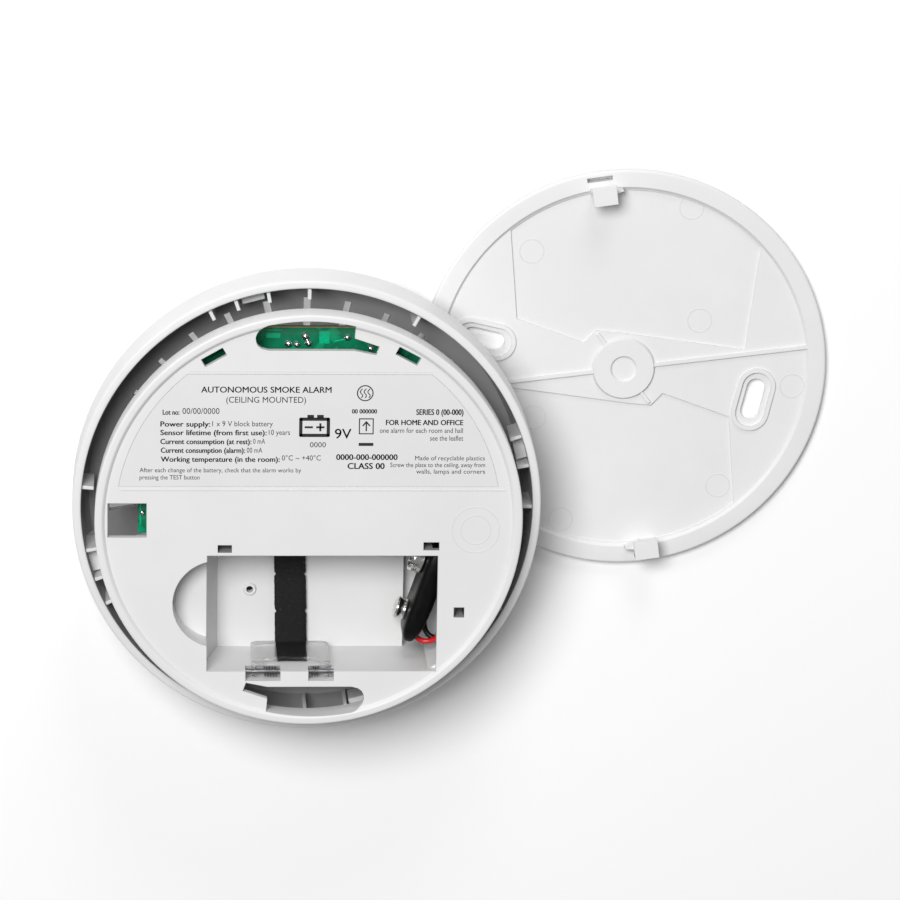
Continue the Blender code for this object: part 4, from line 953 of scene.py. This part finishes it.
def connector():
    """Soft moulded boot, domed at its back, with a stud and a socket on its face."""
    rings = 44
    around = 28
    squareness = 0.42
    bm = bmesh.new()
    rows = []
    for k in range(1, rings):
        t = -1.0 + 2.0 * k / rings
        x = 12.65 * math.sin(0.5 * math.pi * t)
        near = (1.0 - abs(x / 12.7) ** 2.6) ** 0.55
        back = 0.5 + 2.7 * near
        front = 0.4 + 1.7 * (1.0 - abs(x / 12.7) ** 7.0)
        wide = 6.15 * (1.0 - abs(x / 12.75) ** 6.0) ** 0.3
        row = []
        for j in range(around):
            a = 2.0 * math.pi * j / around
            c, s = math.cos(a), math.sin(a)
            y = math.copysign(abs(s) ** squareness, s) * (front if s > 0 else back)
            z = math.copysign(abs(c) ** squareness, c) * wide
            row.append(bm.verts.new((x * MM, y * MM, z * MM)))
        rows.append(row)
    for a, b in zip(rows, rows[1:]):
        for j in range(around):
            bm.faces.new((a[j], a[(j + 1) % around], b[(j + 1) % around], b[j]))
    bm.faces.new(rows[0])
    bm.faces.new(rows[-1])
    bmesh.ops.recalc_face_normals(bm, faces=bm.faces)
    mesh = to_mesh(bm, "boot")
    mesh.transform(connector_frame())
    boot = place("boot_moulded", mesh, VINYL, "head", angle=60.0, nodes=["connector_boot"])
    out = Matrix.Rotation(math.radians(-90.0), 4, "X")
    stud = [(0.0, 2.3), (1.3, 2.3), (1.7, 2.55), (2.1, 2.6), (2.5, 2.45), (2.62, 2.15), (2.55, 1.8),
            (2.25, 1.4), (2.2, 0.9), (2.3, 0.5), (2.6, 0.3), (0.0, 0.3)]
    cup = [(0.0, 1.0), (2.2, 1.0), (2.35, 1.4), (2.3, 3.0), (2.6, 3.12), (3.0, 3.05), (3.25, 2.7),
           (3.3, 2.2), (3.15, 1.4), (3.3, 0.7), (3.3, 0.3), (0.0, 0.3)]
    pieces = [boot]
    for name, node, profile, along in (("snap_stud_fine", "snap_stud", stud, -6.35),
                                       ("snap_socket_fine", "snap_socket", cup, 6.35)):
        piece = turned(profile, 40)
        if node == "snap_socket":
            slits = bmesh.new()
            for k in range(3):
                add_box(slits, -4.0, 4.0, -0.22, 0.22, 1.2, 4.0, turn=60.0 * k + 15.0)
            piece = boolean(piece, cut(to_mesh(slits, "slits")))
        piece.transform(connector_frame()
                        @ Matrix.Translation(Vector((along, 2.1, 0.0)) * MM) @ out)
        pieces.append(place(name, piece, NICKEL, "head", nodes=[node]))
    return pieces


def leads(pieces):
    """Red lead from the board to the connector, black lead from it back to the board."""
    red = [(25.15, -31.05, 26.4), (26.2, -32.0, 26.4), (28.0, -32.4, 26.6), (30.2, -31.2, 27.4),
           (31.6, -27.6, 29.6), (31.9, -22.0, 31.8), (31.9, -14.0, 32.4), (31.7, -6.0, 32.2),
           (31.6, -3.4, 30.6), (31.6, -3.0, 27.9)]
    black = [(27.4, -27.8, 22.0), (27.5, -29.1, 22.0), (27.7, -30.7, 22.2), (28.4, -32.0, 22.6),
             (30.2, -32.8, 23.3), (32.0, -32.0, 24.1), (32.8, -30.2, 25.0), (33.1, -27.2, 26.6),
             (33.2, -20.0, 29.0), (33.2, -12.0, 30.0), (33.2, -8.0, 30.4), (33.5, -5.0, 30.4),
             (34.0, -3.2, 29.6), (34.2, -2.4, 27.9)]
    for name, node, knots, mat, slot, far_end, on in (
            ("red_lead_fine", "red_lead", red[::-1], RED_VINYL, "red_vinyl", "connector", pieces),
            ("black_lead_fine", "black_lead", black, BLACK_VINYL, "boot_vinyl", "object", ())):
        route, length = smooth_path(knots, 0.9)
        obj = place(name, tube(route, LEAD_DIAMETER, 5), mat, "head", angle=60.0, nodes=[node])


# --------------------------------------------------------------- mounting plate
def rounded_slot(length, width, turn, at, low, high):
    """Upright prism over a slot with round ends."""
    half = 0.5 * (length - width)
    plan = arc(0.5 * width, -90.0, 90.0, 24, (half, 0.0))
    plan += arc(0.5 * width, 90.0, 270.0, 24, (-half, 0.0))
    return outline(spun(plan, turn, at), low, high)


def sector(number):
    """One of the two sunk sectors beside the hub, each the other's mirror image in a point."""
    plan = [(-1.1, 8.5), (-6.7, 9.0), (-9.4, 6.1), (-25.2, 11.8), (-27.1, 32.9)]
    plan += arc(42.6, 128.5, 42.9, 40) + [(28.3, 4.5)]
    if number:
        plan = [(-u, -v) for u, v in plan]
    return outline(plan, SECTOR_FLOOR_Z, 9.0)


def mounting_plate():
    """Plate with edge band, hub, ribs, sunk sectors, two hooks and two screw slots."""
    r = PLATE_R
    band = r - PLATE_BAND
    rim = PLATE_RIM_Z
    floor = PLATE_FLOOR_Z
    profile = [(0.0, 2.2), (2.7, 2.2), (3.1, 2.7), (7.0, 2.7), (7.4, floor), (band - 0.6, floor),
               (band, rim)]
    profile += fillet((r, rim), (band, rim), (r, 0.6), 0.6, 6)
    profile += fillet((r, 0.0), (r, 2.0), (20.0, 0.0), 0.4, 4) + [(0.0, 0.0)]
    tools = cut(sector(0), sector(1),
                *[box(-3.3, 2.6, 45.15, 46.2, -1.0, 9.0, turn=turn) for turn in HOOK_TURNS])
    ribs = bmesh.new()
    add_box(ribs, -44.3, -6.0, -0.4, 0.4, 1.0, 2.4, turn=7.0)
    add_box(ribs, 6.0, 44.3, -0.4, 0.4, 1.0, 2.4, turn=7.0)
    for turn in (127.0, 307.0):
        add_box(ribs, 6.5, 10.4, -0.4, 0.4, 1.0, 2.3, turn=turn)
    tools += join(to_mesh(ribs, "ribs"))
    for turn in HOOK_TURNS:
        gusset = spun([(1.0, 42.1), (4.8, 42.9), (1.0, 43.6)], turn)
        tools += join(box(-2.9, 1.4, 42.3, 43.8, 1.0, 7.9, turn=turn),
                      box(-2.8, 2.8, 40.8, 45.0, 7.0, 8.8, turn=turn), outline(gusset, 1.0, 5.6))
    for x, y, turn in ((30.7, -7.5, 77.0), (-32.8, 6.9, -13.0)):
        tools += join(rounded_slot(15.2, 8.8, turn, (x, y), 1.0, 2.3))
        tools += cut(rounded_slot(13.2, 6.8, turn, (x, y), 1.5, 9.0),
                     rounded_slot(10.0, 4.4, turn, (x, y), -1.0, 9.0))
    mesh = boolean(turned(profile), tools)
    place("plate_shell", mesh, PLATE_MAT, "plate", about=PLATE, nodes=["mounting_plate"])
    marks = []
    for x, y in ((-22.1, 27.8), (14.7, 38.4), (17.5, 11.4), (-20.6, -12.1), (23.2, -28.7),
                 (39.7, -4.2), (-13.6, -37.1)):
        low = PLATE_FLOOR_Z if x > 39.0 else SECTOR_FLOOR_Z
        marks.append(raised_ring(2.8, 0.3, low - 0.02, 0.07, (x, y)))
    place("plate_relief", merged("plate_relief", marks), RELIEF, "plate", about=PLATE)


front_cover()
back_cover()
back_relief()
printed_label()
flag_and_springs()
foam_pad()
board_details()
leads(connector())
mounting_plate()


# ------------------------------------------------------- floor, light, camera
def stage():
    """Plain pale floor, a hair below the object."""
    m = Nodes("pale_floor", (0.95, 0.95, 0.95), 0.6)
    m.link(m.ramp(m.noise(6.0), [(0.3, (0.95, 0.95, 0.95)), (0.7, (0.96, 0.96, 0.96))]),
           m.shader.inputs["Base Color"])
    bm = bmesh.new()
    bmesh.ops.create_grid(bm, x_segments=1, y_segments=1, size=3.0)
    floor = bpy.data.objects.new("floor", to_mesh(bm, "floor"))
    SCENE.objects.link(floor)
    floor.data.materials.append(m.mat)
    floor.location.z = -0.0002


def lamp(name, location, target, size, power):
    light = bpy.data.lights.new(name, "AREA")
    light.shape = "DISK"
    light.size = size
    light.energy = power
    obj = bpy.data.objects.new(name, light)
    SCENE.objects.link(obj)
    obj.location = location
    aim = Vector(target) - Vector(location)
    obj.rotation_euler = aim.to_track_quat("-Z", "Y").to_euler()


def lights():
    """Soft studio light from above and a weaker one from the front."""
    bpy.context.scene.view_settings.view_transform = "Standard"
    world = bpy.data.worlds.new("studio")
    bpy.context.scene.world = world
    world.use_nodes = True
    back = world.node_tree.nodes["Background"]
    back.inputs["Color"].default_value = (1.0, 1.0, 1.0, 1.0)
    back.inputs["Strength"].default_value = 0.22
    lamp("overhead", (-0.42, 0.62, 1.4), (0.0, 0.0, 0.0), 0.7, 23.0)
    lamp("front", (0.1, 1.3, 0.7), (0.0, 0.0, 0.0), 0.5, 3.5)


def camera():
    """Long lens nearly straight above, leaning towards the plate's side."""
    tilt = math.radians(16.91)
    swing = math.radians(-13.17)
    roll = math.radians(1.214)
    distance = 1.0537
    target = Vector((34.227 * MM + HEAD[0], 5.773 * MM + HEAD[1], 0.0))
    z = Vector((math.sin(tilt) * math.sin(swing), math.sin(tilt) * math.cos(swing), math.cos(tilt)))
    x0 = Vector((0.0, 1.0, 0.0)).cross(z).normalized()
    y0 = z.cross(x0)
    x = x0 * math.cos(roll) + y0 * math.sin(roll)
    y = y0 * math.cos(roll) - x0 * math.sin(roll)
    data = bpy.data.cameras.new("camera")
    data.sensor_width = 36.0
    data.lens = 180.0
    data.clip_end = 10.0
    obj = bpy.data.objects.new("camera", data)
    SCENE.objects.link(obj)
    turn = Matrix((x, y, z)).transposed().to_4x4()
    obj.matrix_world = Matrix.Translation(target + z * distance) @ turn
    bpy.context.scene.camera = obj


stage()
lights()
camera()
